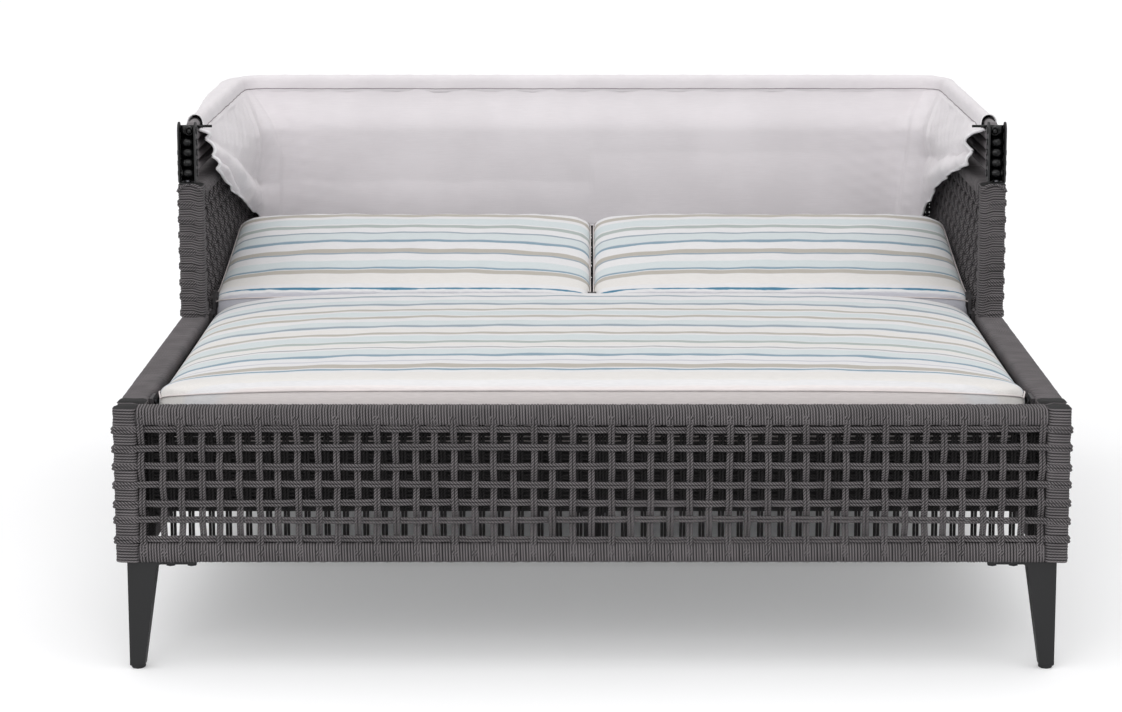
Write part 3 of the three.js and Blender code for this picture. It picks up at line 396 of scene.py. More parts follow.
def rounded_section(a0, a1, b0, b1, corner, steps=3):
    """Points round a rectangle with rounded corners, with each one's distance along the outline."""
    points = []
    centres = [(a1 - corner, b0 + corner, -90), (a1 - corner, b1 - corner, 0),
               (a0 + corner, b1 - corner, 90), (a0 + corner, b0 + corner, 180)]
    for ca, cb, start in centres:
        for n in range(steps + 1):
            angle = math.radians(start + 90 * n / steps)
            points.append((ca + corner * math.cos(angle), cb + corner * math.sin(angle)))
    filled = []
    for n, point in enumerate(points):
        nxt = points[(n + 1) % len(points)]
        filled.append(point)
        if n % (steps + 1) == steps:
            filled.append(((point[0] + nxt[0]) / 2, (point[1] + nxt[1]) / 2))
    filled = np.array(filled)
    step = np.linalg.norm(np.diff(np.vstack([filled, filled[:1]]), axis=0), axis=1)
    return filled, np.concatenate([[0], np.cumsum(step)])


def wound(heap, section, c0, c1, to_xyz, fine=True):
    """Cord wound round a bar from c0 to c1. section: (a0, a1, b0, b1, corner)."""
    outline, run = rounded_section(*section)
    middle = np.array([(section[0] + section[1]) / 2, (section[2] + section[3]) / 2])
    outward = unit(outline - middle)
    turns = max(2, int(round((c1 - c0) / WIND_PITCH)))
    pitch = (c1 - c0) / turns
    shares, heights = ([0, 0.16, 0.5, 0.84], [0, 0.8, 1, 0.8]) if fine else ([0, 0.5], [0, 1])
    turn = np.repeat(np.arange(turns), len(shares))
    share = np.tile(shares, turns)
    height = np.tile(heights, turns).astype(float)
    jitter = rng.normal(0, 0.00022, turns)[turn]
    proud = rng.normal(0, 0.00018, turns)[turn] * (height > 0)
    rows = (turn + share) * pitch + jitter
    rows = np.append(np.clip(rows, 0, c1 - c0), c1 - c0)
    rows = np.maximum.accumulate(rows)
    height, proud = np.append(height, 0), np.append(proud, 0)
    skew = (run[:-1] / run[-1] - 0.5) * pitch
    across = np.clip(rows[:, None] + skew[None, :], 0, c1 - c0) + c0
    wobble = 0.00025 * np.sin(rows[:, None] * 310 + run[None, :-1] * 160)
    off = (height[:, None] - 1) * WIND_DEPTH + proud[:, None] + wobble * (height[:, None] > 0)
    plane = outline[None] + outward[None] * off[..., None]
    points = to_xyz(plane[..., 0], plane[..., 1], across)
    u = np.append((turn + share) * 0.5, turns * 0.5)
    heap.cap_ends(heap.grid(points, grid_of(u[:, None], run[None, :] + 10), closed=True))


def along_x(a, b, c):
    return np.stack([c, a, b], axis=-1)


def along_z(a, b, c):
    return np.stack([b, a, c], axis=-1)


def places_between(lo, hi, pitch, spread):
    first, last = lo + 0.001 + STRAND / 2, hi - 0.001 - STRAND / 2
    places = np.linspace(first, last, max(1, round((last - first) / pitch)) + 1)
    return places + rng.normal(0, spread, len(places))


MID_Y, WARP_SWING, WEFT_SWING = 0.0085, 0.0040, 0.0014
# The inner level cords lie close together from INNER_FROM up, as a dark layer standing in for shade behind
# the weave.
INNER_FROM, INNER_PITCH, INNER_SHIFT = 0.260, 0.0066, 0.0105
INNER_UPRIGHT_Y, INNER_LEVEL_Y = 0.0375, 0.0425
# How a level cord goes on past the net, as outwards, depth and drop: round a post, or into its windings.
ROUND_POST = [(0.007, 0.0025, 0), (0.014, 0.0006, 0), (0.027, 0.0004, 0), (0.035, 0.0016, 0.001),
              (0.0388, 0.008, 0.002), (0.0388, 0.030, 0.003), (0.030, 0.034, 0.003)]
INTO_POST = [(0.006, 0.004, 0), (0.012, 0.005, 0)]


def swing(at, stations, signs, amount):
    """A smooth swing through stations, one sign at each."""
    spot = np.interp(at, stations, np.arange(len(stations)))
    low = np.clip(np.floor(spot).astype(int), 0, len(stations) - 2)
    t = ease(spot - low)
    signs = np.asarray(signs, float)
    return amount * (signs[low] * (1 - t) + signs[low + 1] * t)


def over_rail(x, z, way, reach):
    """How an upright cord goes on over a rail's windings."""
    first, last = [x, MID_Y - 0.004, z + way * 0.007], [x, 0.006, z + way * reach + way * 0.005]
    return np.array([first] + [[x, 0.0021, z + way * d] for d in np.linspace(0.012, reach, 4)] + [last])


def inner_cords(heap, xs, x0, x1, z0, z1):
    """Cords stretched behind a panel's weave, in a rope darkened as painted shade. The level ones lie close
    together from INNER_FROM up, as a dark layer that stands in for the shade behind the weave.
    """
    for x in xs:
        shift = INNER_SHIFT if x < (x0 + x1) / 2 else -INNER_SHIFT
        for side in (-1, 1):
            line = [[x + shift + side * ROPE, INNER_UPRIGHT_Y, z] for z in (z0 - 0.01, z1 + 0.01)]
            heap.tube(line, ROPE, 6, ref=(1, 0, 0), capped=False)
    for z in np.arange(max(INNER_FROM, z0 + 0.004), z1 - 0.004, INNER_PITCH):
        first, last = z + rng.normal(0, 0.0012, 2)
        line = [[x0 - 0.004, INNER_LEVEL_Y, first], [x1 + 0.004, INNER_LEVEL_Y, last]]
        heap.tube(line, ROPE, 6, ref=(0, 0, 1), capped=False)


def net(upright, level, x0, x1, z0, z1, fine, ends, inner_face=False, inner=None):
    """A plain weave of paired cords. ends: how far the upright ones run on over the low and the high rail,
    and how the level ones end. The weave lies on the panel's outer or inner face. inner: a heap for the
    cords stretched behind it."""
    def laid(path):
        return path * [1, -1, 1] + [0, PANEL, 0] if inner_face else path

    xs = places_between(x0, x1, WARP_PITCH, 0.0009)
    zs = places_between(z0, z1, WEFT_PITCH, 0.0007)
    sides, step = (8, 0.0035) if fine else (6, 0.0065)
    low_end, high_end, tail = ends
    for n, x in enumerate(xs):
        run = np.arange(z0 - 0.003, z1 + 0.003, step)
        signs = [1 if (n + k) % 2 else -1 for k in range(len(zs))]
        y = MID_Y + swing(run, zs, signs, WARP_SWING)
        lean = rng.normal(0, 0.0011)
        for side in (-1, 1):
            bend = x + side * (ROPE + 0.0001) + lean * (run - z0) / (z1 - z0)
            bend = bend + 0.0004 * np.sin(run * 70 + n * 1.7)
            path = np.stack([bend, y, run], axis=1)
            below = over_rail(bend[0], z0, -1, low_end)
            above = over_rail(bend[-1], z1, 1, high_end)
            path = np.concatenate([below[::-1], path[2:-2], above])
            upright.tube(laid(path), ROPE, sides, ref=(1, 0, 0))
    if inner is not None:
        inner_cords(inner, xs, x0, x1, z0, z1)
    for k, z in enumerate(zs):
        run = np.arange(x0 - 0.001, x1 + 0.001, step)
        signs = [-1 if (n + k) % 2 else 1 for n in range(len(xs))]
        y = MID_Y + swing(run, xs, signs, WEFT_SWING)
        wave = 0.0012 * np.sin(run * (5 + k % 3) + k * 2.1)
        for side in (-1, 1):
            path = np.stack([run, y, z + side * (ROPE + 0.0001) + wave], axis=1)
            zl, zr = path[0, 2], path[-1, 2]
            left = [[x0 - out, deep, zl - drop] for out, deep, drop in tail]
            right = [[x1 + out, deep, zr - drop] for out, deep, drop in tail]
            path = np.concatenate([np.array(left)[::-1], path[2:-2], np.array(right)])
            level.tube(laid(path), ROPE, sides, ref=(0, 0, 1))


def panel(length, top, fine):
    upright, level, inner = Heap(), Heap(), Heap()
    x0, x1 = POST, length - POST
    z0, z1 = BASE + LOW_RAIL, top - HIGH_RAIL
    wound(upright, (0, PANEL, BASE, z0, 0.008), x0 + GAP, x1 - GAP, along_x, fine=fine)
    wound(upright, (0, PANEL, z1, top, 0.008), x0 + GAP, x1 - GAP, along_x, fine=fine)
    wound(level, (0, PANEL, 0, x0, 0.009), BASE, top, along_z, fine=fine)
    wound(level, (0, PANEL, x1, length, 0.009), BASE, top, along_z, fine=fine)
    net(upright, level, x0, x1, z0, z1, fine, (0.018, 0.014, ROUND_POST), inner=inner)
    return upright, level, inner


def turned(angle, x, y, mirror=False):
    c, s = math.cos(angle), math.sin(angle)
    matrix = np.array([[c, -s, 0], [s, c, 0], [0, 0, 1]])
    if mirror:
        return np.diag([-1, 1, 1]) @ matrix, (-x, y, 0)
    return matrix, (x, y, 0)


def make_net(name, upright, level, place):
    for heap, way in ((upright, "upright"), (level, "level")):
        heap.make(f"{name}_{way}_cords", rope, "bed", "rope", (f"{name}_{way}_ropes",), place)


def end_panel(name, top, place, fine):
    upright, level, inner = panel(2 * HALF_W, top, fine)
    inner.make(name + "_inner_cords", shade_darkened_rope, "bed", "rope", place=place)
    make_net(name, upright, level, place)


def petals(heap):
    """The last windings of an arm's front post, which rise to the clevis's bolt from both sides."""
    for side in (-1, 1):
        for k in range(4):
            start = ARM_TOP - 0.012 + 0.0030 * k
            turn = np.linspace(0, math.pi / 2, 7)
            reach = PANEL / 2 - 0.002 - 0.0035 * k
            y = PANEL / 2 + side * (0.0012 + reach * np.cos(turn) ** 0.8)
            z = start + (ARM_TOP + 0.001 - start) * np.sin(turn) ** 1.3
            x = ARM_START - 0.0020 - 0.0012 * np.sin(turn)
            heap.tube(np.stack([x, y, z], axis=1), ROPE * 0.85, 7, ref=(1, 0, 0))


def side_panel(side, mirror):
    place = turned(math.pi / 2, HALF_W, -HALF_D + PANEL + GAP, mirror)
    upright, level, inner = panel(SIDE_LENGTH, SEAT_TOP, False)
    inner.make(side + "_inner_cords", shade_darkened_rope, "bed", "rope", place=place)
    make_net(side + "_side", upright, level, place)
    upright, level = Heap(), Heap()
    x0, x1 = ARM_START + POST, SIDE_LENGTH - POST
    z0, z1 = SEAT_TOP + GAP, ARM_TOP - HIGH_RAIL
    wound(upright, (0, PANEL, z1, ARM_TOP, 0.008), x0 + GAP, x1 - GAP, along_x)
    wound(level, (0, PANEL, ARM_START, x0, 0.009), z0, ARM_TOP, along_z)
    wound(level, (0, PANEL, x1, SIDE_LENGTH, 0.009), z0, ARM_TOP, along_z, fine=False)
    net(upright, level, x0, x1, z0, z1, True, (0.0, 0.014, ROUND_POST))
    net(upright, level, x0, x1, z0, z1, True, (0.0, 0.014, INTO_POST), inner_face=True)
    petals(level)
    make_net(side + "_arm", upright, level, place)


end_panel("front", SEAT_TOP, turned(0, -HALF_W, -HALF_D), True)
end_panel("rear", ARM_TOP, turned(math.pi, HALF_W, HALF_D), False)
side_panel("right", False)
side_panel("left", True)


# Canopy bows.
def bow_path(start, steps=12):
    arc = np.linspace(0, math.pi / 2, steps)
    right = [(CLEVIS_X, PIVOT_Y + start, 0.0), (CLEVIS_X, PIVOT_Y + start + 0.03, 0.0)]
    right += [(CLEVIS_X, y, 0.0) for y in np.linspace(PIVOT_Y + start + 0.08, BOW_REAR - BEND - 0.02, 9)]
    right += [(CLEVIS_X - BEND + BEND * math.cos(t), BOW_REAR - BEND + BEND * math.sin(t), 0.0) for t in arc]
    right += [(x, BOW_REAR, 0.0) for x in np.linspace(CLEVIS_X - BEND - 0.03, 0.0, 10)]
    left = [(-x, y, z) for x, y, z in right[-2::-1]]
    return np.array(right + left)


def end_rows(length, lane):
    """A bow's end as rows of (x, y, half width, half height), from its full tube to its round tip."""
    rows = []
    for share, back in [(0.0, 0.0), (0.3, 0.004), (0.75, 0.010), (1.0, 0.014)]:
        x = lane * share + CLEVIS_X * (1 - share)
        rows.append((x, length - back, BOW_R * (1 - share) + 0.0018 * share, BOW_R))
    rows.append((lane, 0.020, 0.0018, BOW_R))
    rows.append((lane, 0.004, 0.0018, BOW_R))
    for angle in (20, 45, 70, 86):
        a = math.radians(angle)
        rows.append((lane, -BOW_R * math.sin(a), 0.0018, BOW_R * math.cos(a)))
    return rows


def loft_end(heap, rows, n, mirror, capped):
    turn = np.arange(16) * TAU / 16
    cos = np.sign(np.cos(turn)) * np.abs(np.cos(turn)) ** 0.7
    sin = np.sign(np.sin(turn)) * np.abs(np.sin(turn)) ** 0.7
    grid = np.array([
        np.stack([x + wide * cos, np.full(16, PIVOT_Y + y), PIVOT_Z[n] + high * sin], axis=1)
        for x, y, wide, high in rows
    ])
    if mirror:
        grid[..., 0] *= -1
        grid = grid[:, ::-1]
    index = heap.grid(grid, closed=True)
    if capped:
        heap.cap(index[-1, :-1])


def spacer(heap, n, mirror):
    """A black spacer round a clevis's pin, and a thin black plate that closes the slot behind it: a dark
    filler that makes the slot read black, standing in for shade.
    """
    across = [-SLOT, -0.0110, -0.0078, -0.0038, 0.0, 0.0038, 0.0078, 0.0110, SLOT]
    hub = [[mirror * (CLEVIS_X + d), PIVOT_Y, PIVOT_Z[n]] for d in across]
    heap.tube(hub, np.array([45, 62, 79, 90, 93, 90, 79, 62, 45]) * 0.0001, 24)
    below = {0: 0.0150, TOP_BOW: 0.0117}.get(n, 0.00945)
    x, y, z = mirror * CLEVIS_X, PIVOT_Y + 0.004, PIVOT_Z[n]
    # The closing plate is a dark filler standing in for the shade inside the slot.
    plate = np.array([
        [(x + a * SLOT, y + b * 0.002, z - below), (x + a * SLOT, y + b * 0.002, z + 0.00945)]
        for a, b in ((-1, -1), (1, -1), (1, 1), (-1, 1))
    ]).transpose(1, 0, 2)
    heap.cap_ends(heap.grid(plate, closed=True))


def top_bow_fittings(heap, z):
    """The uppermost bow's cross pins, and the collars at the sleeve's mouths."""
    for mirror in (1, -1):
        pin = [[mirror * (CLEVIS_X + d), PIVOT_Y + 0.066, z] for d in (-0.037, 0.013)]
        heap.tube(pin, 0.0025, 10)
        y = PIVOT_Y + SLEEVE_START
        collar = [[mirror * CLEVIS_X, y + d, z] for d in (-0.006, -0.005, 0.02)]
        heap.tube(collar, np.array([0.0098, 0.0106, 0.0106]), 20)


def bow(n, body):
    tube, ends = Heap(), Heap()
    top = n == TOP_BOW
    length = 0.058 if top else 0.062
    path = bow_path(length) + [0, 0, PIVOT_Z[n]]
    tube.tube(path, BOW_R, 20, capped=False)
    lane = CLEVIS_X + (TOP_BOW / 2 - n) * LANE
    rows = end_rows(length, lane)
    split = 4 if top else 2
    for mirror in (False, True):
        loft_end(tube, rows[:split + 1], n, mirror, False)
        loft_end(ends, rows[split:], n, mirror, True)
    for mirror in (1, -1):
        spacer(ends, n, mirror)
    if top:
        top_bow_fittings(ends, PIVOT_Z[n])
    tube.make(f"bow_{n + 1}_tube", bow_coat, body, "bow", (f"canopy_bow_{n + 1}",))
    ends.make(f"bow_{n + 1}_ends", gloss_black, body, "bow")


for number, body in enumerate(["bed", "second_bow", "third_bow", "fourth_bow", "front_bow"]):
    bow(number, body)


# Saddles that stand the lowest bow on the rear panel.
def saddles():
    heap = Heap()
    for x in (-0.52, 0.52):
        xs = x + 0.013 * np.array([-1, -0.85, 0.85, 1])
        ring = []
        for px, cut in zip(xs, (0.002, 0, 0, 0.002)):
            z0, z1 = ARM_TOP + GAP, PIVOT_Z[0]
            outline = [(-0.0115 + cut, z0), (0.0115 - cut, z0), (0.0095 - cut, z1), (-0.0095 + cut, z1)]
            ring.append([(px, BOW_REAR + y, z) for y, z in outline])
        heap.cap_ends(heap.grid(np.array(ring), closed=True))
    heap.make("bow_saddles", leg_coat, "bed", "leg", smooth=False)


saddles()


# Rivets on the clevises' cheeks, the plugs in the uppermost bow's ends, and the bolts in the clevises' webs.
def rivets():
    heads, plugs, bolts = Heap(), Heap(), Heap()
    for mirror in (-1, 1):
        for n, z in enumerate(PIVOT_Z):
            for face in (-1, 1) if n < TOP_BOW - 1 else (-1,):
                at = CLEVIS_X + face * CHEEK
                steps = [(0.0, 0.0052), (0.0011, 0.0050), (0.0019, 0.0036), (0.0022, 0.0004)]
                path = [[mirror * (at + face * d), PIVOT_Y, z] for d, _ in steps]
                heads.tube(path, np.array([r for _, r in steps]), 14)
        x, z = mirror * (CLEVIS_X - 0.0050), PIVOT_Z[TOP_BOW]
        dome = [(-0.004, 0.0085), (-0.0105, 0.0085), (-0.0120, 0.0076), (-0.0120, 0.0060), (-0.0108, 0.0052),
                (-0.0122, 0.0040), (-0.0130, 0.0022), (-0.0132, 0.0003)]
        path = [[x, PIVOT_Y + y, z] for y, _ in dome]
        plugs.tube(path, np.array([r for _, r in dome]), 22)
        foot = ARM_TOP + GAP + 0.004
        bolt = [(0.0, 0.0065), (0.0030, 0.0063), (0.0046, 0.0048), (0.0052, 0.0004)]
        path = [[mirror * CLEVIS_X, PIVOT_Y - 0.006, foot + h] for h, _ in bolt]
        bolts.tube(path, np.array([r for _, r in bolt]), 16, ref=(1, 0, 0))
    heads.make("clevis_rivet_heads", gloss_black, "bed", "bolt")
    plugs.make("bow_end_plugs", gloss_black, "front_bow", "glide")
    bolts.make("clevis_bolts", bright, "bed", "bolt")


rivets()


# Canopy cloth.
CLOTH_START, CLOTH_TOP, CLOTH_THICK = 0.100, 0.7655, 0.0012
SIDE_SHARE, BEND_SHARE = 0.45, 0.54
REAR_HEM = 0.478
# Along a side from its front (0) to the rear corner (1): heights of the hem and of the creases between the
# rolls in which the gathered cloth hangs, and how far each roll bulges inwards.
GATHERS = {
    "left": {
        "hem": [(0, 0.688), (0.10, 0.668), (0.29, 0.6255), (0.59, 0.581), (0.9, 0.527), (1.05, 0.498)],
        "creases": [
            [(0, 0.745), (0.43, 0.672), (0.84, 0.602), (1.05, 0.570)],
            [(0, 0.713), (0.29, 0.647), (0.50, 0.602), (0.62, 0.578), (1.05, 0.500)],
        ],
        "bulges": [
            [(0, 0.016), (0.12, 0.009), (0.5, 0.012), (0.9, 0.018), (1.05, 0.010)],
            [(0, 0.017), (0.3, 0.022), (0.7, 0.023), (1.05, 0.012)],
            [(0, 0.014), (0.2, 0.018), (0.45, 0.010), (0.6, 0.0), (1.05, 0.0)],
        ],
        "pleat": [(0.500, 0.657), (0.635, 0.651), (0.700, 0.675), (0.766, 0.722)],
    },
    "right": {
        "hem": [(0, 0.697), (0.29, 0.6586), (0.755, 0.586), (0.95, 0.535), (1.05, 0.508)],
        "creases": [
            [(0, 0.7226), (0.3, 0.690), (0.7, 0.650), (1.05, 0.630)],
            [(0, 0.690), (0.29, 0.650), (0.6, 0.590), (1.05, 0.500)],
        ],
        "bulges": [
            [(0, 0.030), (0.12, 0.021), (0.4, 0.013), (0.9, 0.015), (1.05, 0.010)],
            [(0, 0.012), (0.3, 0.021), (0.7, 0.023), (1.05, 0.012)],
            [(0, 0.0), (1.05, 0.0)],
        ],
        "pleat": [(0.500, 0.646), (0.531, 0.649), (0.714, 0.670), (0.766, 0.700)],
    },
}


def table(pairs, at):
    """A smooth line through a table of (place, value)."""
    xs, ys = zip(*pairs)
    fine = np.linspace(xs[0], xs[-1], 401)
    line = np.pad(np.interp(fine, xs, ys), 32, mode="reflect", reflect_type="odd")
    kernel = np.hanning(67)[1:-1]
    return np.interp(at, fine, np.convolve(line, kernel / kernel.sum(), "valid"))


def plan(u, inset, bend, start):
    """Points and inward directions on a line inside the bows, from the left front (u = 0) round to the right
    front (u = 1). inset is measured from the bows' middle; bend is the radius of the line's corners."""
    u, inset, bend = np.broadcast_arrays(u, inset, bend)
    half = np.minimum(u, 1 - u) * 2
    side_x, end_y = CLEVIS_X - inset, BOW_REAR - inset - bend
    along = half / SIDE_SHARE
    turn = np.clip((half - SIDE_SHARE) / (BEND_SHARE - SIDE_SHARE), 0, 1) * math.pi / 2
    back = np.clip((half - BEND_SHARE) / (1 - BEND_SHARE), 0, 1)
    x = (side_x - bend + bend * np.cos(turn)) * (1 - back)
    y = np.where(along < 1, start + (end_y - start) * np.minimum(along, 1), end_y + bend * np.sin(turn))
    sign = np.where(u < 0.5, -1.0, 1.0)
    return sign * x, y, -sign * np.cos(turn), -np.sin(turn), along


def gathered(v, along, side):
    """Heights and inward bulges of one side's cloth, at shares v of its drop."""
    gather = GATHERS[side]
    behind = ease((along - 1.0) / 0.18)
    hem = table(gather["hem"], along) * (1 - behind) + REAR_HEM * behind
    hem = hem + 0.0012 * np.sin(along * 14 + 1) * (1 - behind)
    z = CLOTH_TOP - v * (CLOTH_TOP - hem)
    lines = [np.full_like(along, CLOTH_TOP - 0.002)] + [table(c, along) for c in gather["creases"]] + [hem]
    wander = 0.0025 * np.sin(along * 17) + 0.0015 * np.sin(along * 41 + 2)
    bulge = np.zeros_like(z)
    for high, low, amount in zip(lines, lines[1:], gather["bulges"]):
        low = np.maximum(low, hem - 0.004)
        w = np.clip((z - low - wander) / np.maximum(high - low, 0.004), 0, 1)
        round_off = np.sin(math.pi * w) ** 0.9
        bulge = np.maximum(bulge, table(amount, along) * (0.3 + 0.7 * round_off) * (z > low - 0.02))
    return z, bulge * (1 - 0.75 * behind) * ease((CLOTH_TOP - z) / 0.008)


def cloth_points(u, v):
    """The hanging cloth at shares u of the way round the bows and v of its drop."""
    along = np.minimum(u, 1 - u) * 2 / SIDE_SHARE + 0 * v
    left, right = gathered(v, along, "left"), gathered(v, along, "right")
    z = np.where(u < 0.5, left[0], right[0])
    bulge = np.where(u < 0.5, left[1], right[1])
    fallen = ease((CLOTH_TOP - z) / (CLOTH_TOP - ARM_TOP))
    start = PIVOT_Y + CLOTH_START + 0.002 * np.sin(z * 120 + 1) * np.clip(1 - along * 6, 0, 1)
    x, y, way_x, way_y, along = plan(u + 0 * v, 0.0108 + 0.0237 * fallen, 0.041 + 0.045 * fallen, start)
    lean = 0.004 * fallen * v
    crumple = 0.0008 * np.sin(along * 33 + z * 90) * np.sin(z * 140 - along * 9 + 1)
    crumple = crumple + 0.0004 * np.sin(along * 71 - z * 210)
    near = np.clip(1.6 - along, 0, 1)
    inset = bulge + lean + crumple * near
    # The pleat in each rear corner, where the side's cloth laps over the rear's.
    for sign, side in ((-1, "left"), (1, "right")):
        line = table(GATHERS[side]["pleat"], z)
        beyond = (sign * x - line) / 0.007
        lap = ease(beyond) * ease((CLOTH_TOP - z) / 0.03) * (along > 0.9)
        soft = np.exp(-((sign * x - line - 0.018) / 0.016) ** 2) * (along > 0.9)
        inset = inset + np.where(sign * x > 0, 0.006 * lap + 0.005 * soft * v, 0)
    # Faint folds across the rear, and small gathers below its seam.
    flat = np.clip((along - 1.3) / 0.3, 0, 1)
    inset = inset + flat * v * (0.0020 + 0.0012 * np.sin(x * 11 + 1) + 0.0007 * np.sin(x * 31 + z * 9))
    inset = inset + flat * 0.0010 * np.sin(x * 64) * np.exp(-(CLOTH_TOP - z) / 0.05)
    return np.stack([x + way_x * inset, y + way_y * inset, z], axis=-1)


def canopy_cloth():
    samples, rows = ((520, 72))
    u, v = np.linspace(0, 1, samples)[None, :], np.linspace(0, 1, rows)[:, None]
    points = cloth_points(u, v)
    heap = Heap()
    heap.grid(points[:, ::-1], grid_of(u * 2.9, v * 0.3)[:, ::-1])
    nodes = ("canopy_rear_cloth", "right_canopy_side_cloth", "left_canopy_side_cloth")
    made = heap.make("canopy_hanging_cloth", canopy_fabric, None, "canopy_cloth", nodes)
    solid = made.modifiers.new("thickness", "SOLIDIFY")
    solid.thickness, solid.offset = CLOTH_THICK, 0.0
    hems = Heap()
    edge = np.concatenate([points[:, 0], points[-1, 1:-1:2], points[::-1, -1]])
    from_end = np.minimum(np.arange(len(edge)), np.arange(len(edge))[::-1])
    hems.tube(edge, 0.0019 + 0.0014 * (1 - ease((from_end - rows) / 20)), 8, ref=(0.11, 0.07, 1))
    hem = hems.make("canopy_cloth_hem", thread, None, "canopy_cloth")
    for piece in (made, hem):
        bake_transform(piece)


def sleeve_path():
    path = bow_path(SLEEVE_START, 14)
    inner = []
    for a, b in zip(path[:-1], path[1:]):
        steps = max(1, int(np.linalg.norm(b - a) / 0.007))
        inner.extend(a + (b - a) * k / steps for k in range(steps))
    return np.array(inner + [path[-1]]) + [0, 0, PIVOT_Z[TOP_BOW]]


def sleeve_points(path, length, turn):
    """A loose casing round the uppermost bow, with a lip on its inner side for the hanging cloth."""
    edge = np.minimum(length, length[-1] - length)
    side_length = BOW_REAR - BEND - PIVOT_Y - SLEEVE_START
    outward = unit(np.cross(unit(np.gradient(path, axis=0)), (0, 0, 1.0)))
    behind = ease((edge - side_length) / 0.10)[:, None]
    corner = np.exp(-((edge - side_length - BEND * 0.8) / 0.05) ** 2)[:, None]
    pucker = 0.0003 * np.sin(length * 240) + 0.0003 * np.sin(length * 97 + 1)
    radius = (0.0121 + pucker)[:, None] + 0.0018 * np.exp(-edge / 0.02)[:, None]
    out = radius * np.cos(turn)
    up = radius * np.sin(turn)
    up = up + np.clip(np.sin(turn), 0, 1) * (0.0025 + 0.0028 * behind)
    lip = np.exp(-((turn - math.radians(222)) / math.radians(27)) ** 2)
    out = out - lip * (0.0036 + 0.0003 * np.sin(length * 37)[:, None])
    sag = 0.0098 + 0.0004 * np.sin(length * 29 + 1)[:, None]
    up = up - lip * sag * np.clip(edge / 0.05, 0.25, 1)[:, None]
    is_left = (path[:, 0] < 0)[:, None]
    bag = ease(edge / 0.5)[:, None] * (1 - ease((edge - side_length - 0.01) / 0.09))[:, None]
    out = out + np.clip(np.cos(turn), 0, 1) * bag * np.where(is_left, 0.024, 0.004)
    out = out + np.clip(np.cos(turn), 0, 1) * corner * 0.006
    slack = 0.0005 * np.sin(length * 61 + 2)[:, None] * np.sin(turn * 2 + length[:, None] * 9)
    points = path[:, None] + outward[:, None] * (out + slack)[..., None]
    points[..., 2] += up
    return points


def canopy_sleeve():
    path, sides = sleeve_path(), 32
    length = run_along(path)
    points = sleeve_points(path, length, (np.arange(sides) * TAU / sides)[None, :])
    heap = Heap()
    heap.grid(points, grid_of(np.arange(sides + 1)[None, :] / sides, length[:, None]), closed=True)
    made = heap.make("canopy_sleeve_cloth", canopy_fabric, "front_bow", "canopy_cloth", ("canopy_sleeve",))
    solid = made.modifiers.new("thickness", "SOLIDIFY")
    solid.thickness, solid.offset = CLOTH_THICK, 1.0
    hems = Heap()
    for row in (0, len(points) - 1):
        ring = np.vstack([points[row], points[row][:2]])
        hems.tube(ring, 0.0013, 6, ref=(0.1, 1, 0))
    hems.make("sleeve_hems", thread, "front_bow", "canopy_cloth")
    # A thin darker cord along the seam: painted shade in its crease.
    seam = Heap()
    seam.tube(points[4:-4, int(round(204 / 360 * sides))], 0.0009, 6, ref=(0, 0, 1))
    seam.make("sleeve_seam", painted_seam_shade, "front_bow", "canopy_cloth")


canopy_sleeve()
canopy_cloth()


# Cushions.
def cushion_points(half_x, half_y, thick, drops, cols, rows, corners):
    """A crowned closed form, as two grids that share their border. drops: how far the top falls towards the
    ends, the front and the rear, and how far it rises rearwards. corners: how much the front ones are cut
    along x and along y, and the rear ones."""
    u = np.sin(np.linspace(-0.5, 0.5, cols) * math.pi)
    v = np.sin(np.linspace(-0.5, 0.5, rows) * math.pi)
    a, b = np.meshgrid(u, v)
    side, front, rear, rise = drops
    cut = (a * b) ** 8
    x = a * (half_x - 0.002 * (1 - b * b) - np.where(b < 0, corners[0], corners[2]) * cut)
    y = b * (half_y - 0.003 * (1 - a * a) - np.where(b < 0, corners[1] * a ** 20 * b ** 4, corners[2] * cut))
    fall_x = side * (1 - np.sqrt(np.clip(1 - a ** 6, 0, 1))) * (1 - 0.5 * ease((-b - 0.6) / 0.4))
    fall_y = np.where(b < 0, front, rear) * (1 - np.clip(1 - b ** 12, 0, 1) ** (1 / 3))
    up = thick - fall_x - fall_y + 0.008 * (1 - a ** 2) * (1 - b ** 2) + rise * (b + 1) / 2
    down = 0.5 * fall_x + 0.5 * fall_y
    return x, y, up, down


def coordinates(obj):
    points = np.empty(len(obj.data.vertices) * 3)
    obj.data.vertices.foreach_get("co", points)
    return points.reshape(-1, 3)


def move_to(obj, points):
    obj.data.vertices.foreach_set("co", points.ravel())
    obj.data.update()


def puff(obj, voxel, cap, pressure):
    """Swells a closed mesh up and down by a short cloth simulation, by cap at most and not at its rim."""
    scene = bpy.context.scene
    bpy.context.view_layer.objects.active = obj
    remesh = obj.modifiers.new("remesh", "REMESH")
    remesh.mode, remesh.voxel_size = "VOXEL", voxel
    apply_all(obj)
    before = coordinates(obj)
    cloth = obj.modifiers.new("cloth", "CLOTH")
    settings = cloth.settings
    settings.use_pressure = True
    settings.uniform_pressure_force = pressure
    settings.quality, settings.mass = 4, 0.3
    settings.effector_weights.gravity = 0
    settings.tension_stiffness = settings.compression_stiffness = 25
    settings.bending_stiffness = 0.6
    cloth.point_cache.frame_start, cloth.point_cache.frame_end = 1, 20
    for number in range(1, 21):
        scene.frame_set(number)
    apply_all(obj)
    after = coordinates(obj)
    low, high = before.min(axis=0), before.max(axis=0)
    reach = np.abs((before - (low + high) / 2) / ((high - low) / 2))[:, :2].max(axis=1)
    before[:, 2] += np.clip(after[:, 2] - before[:, 2], -cap, cap) * ease((1 - reach) / 0.06)
    move_to(obj, before)
    scene.frame_set(1)


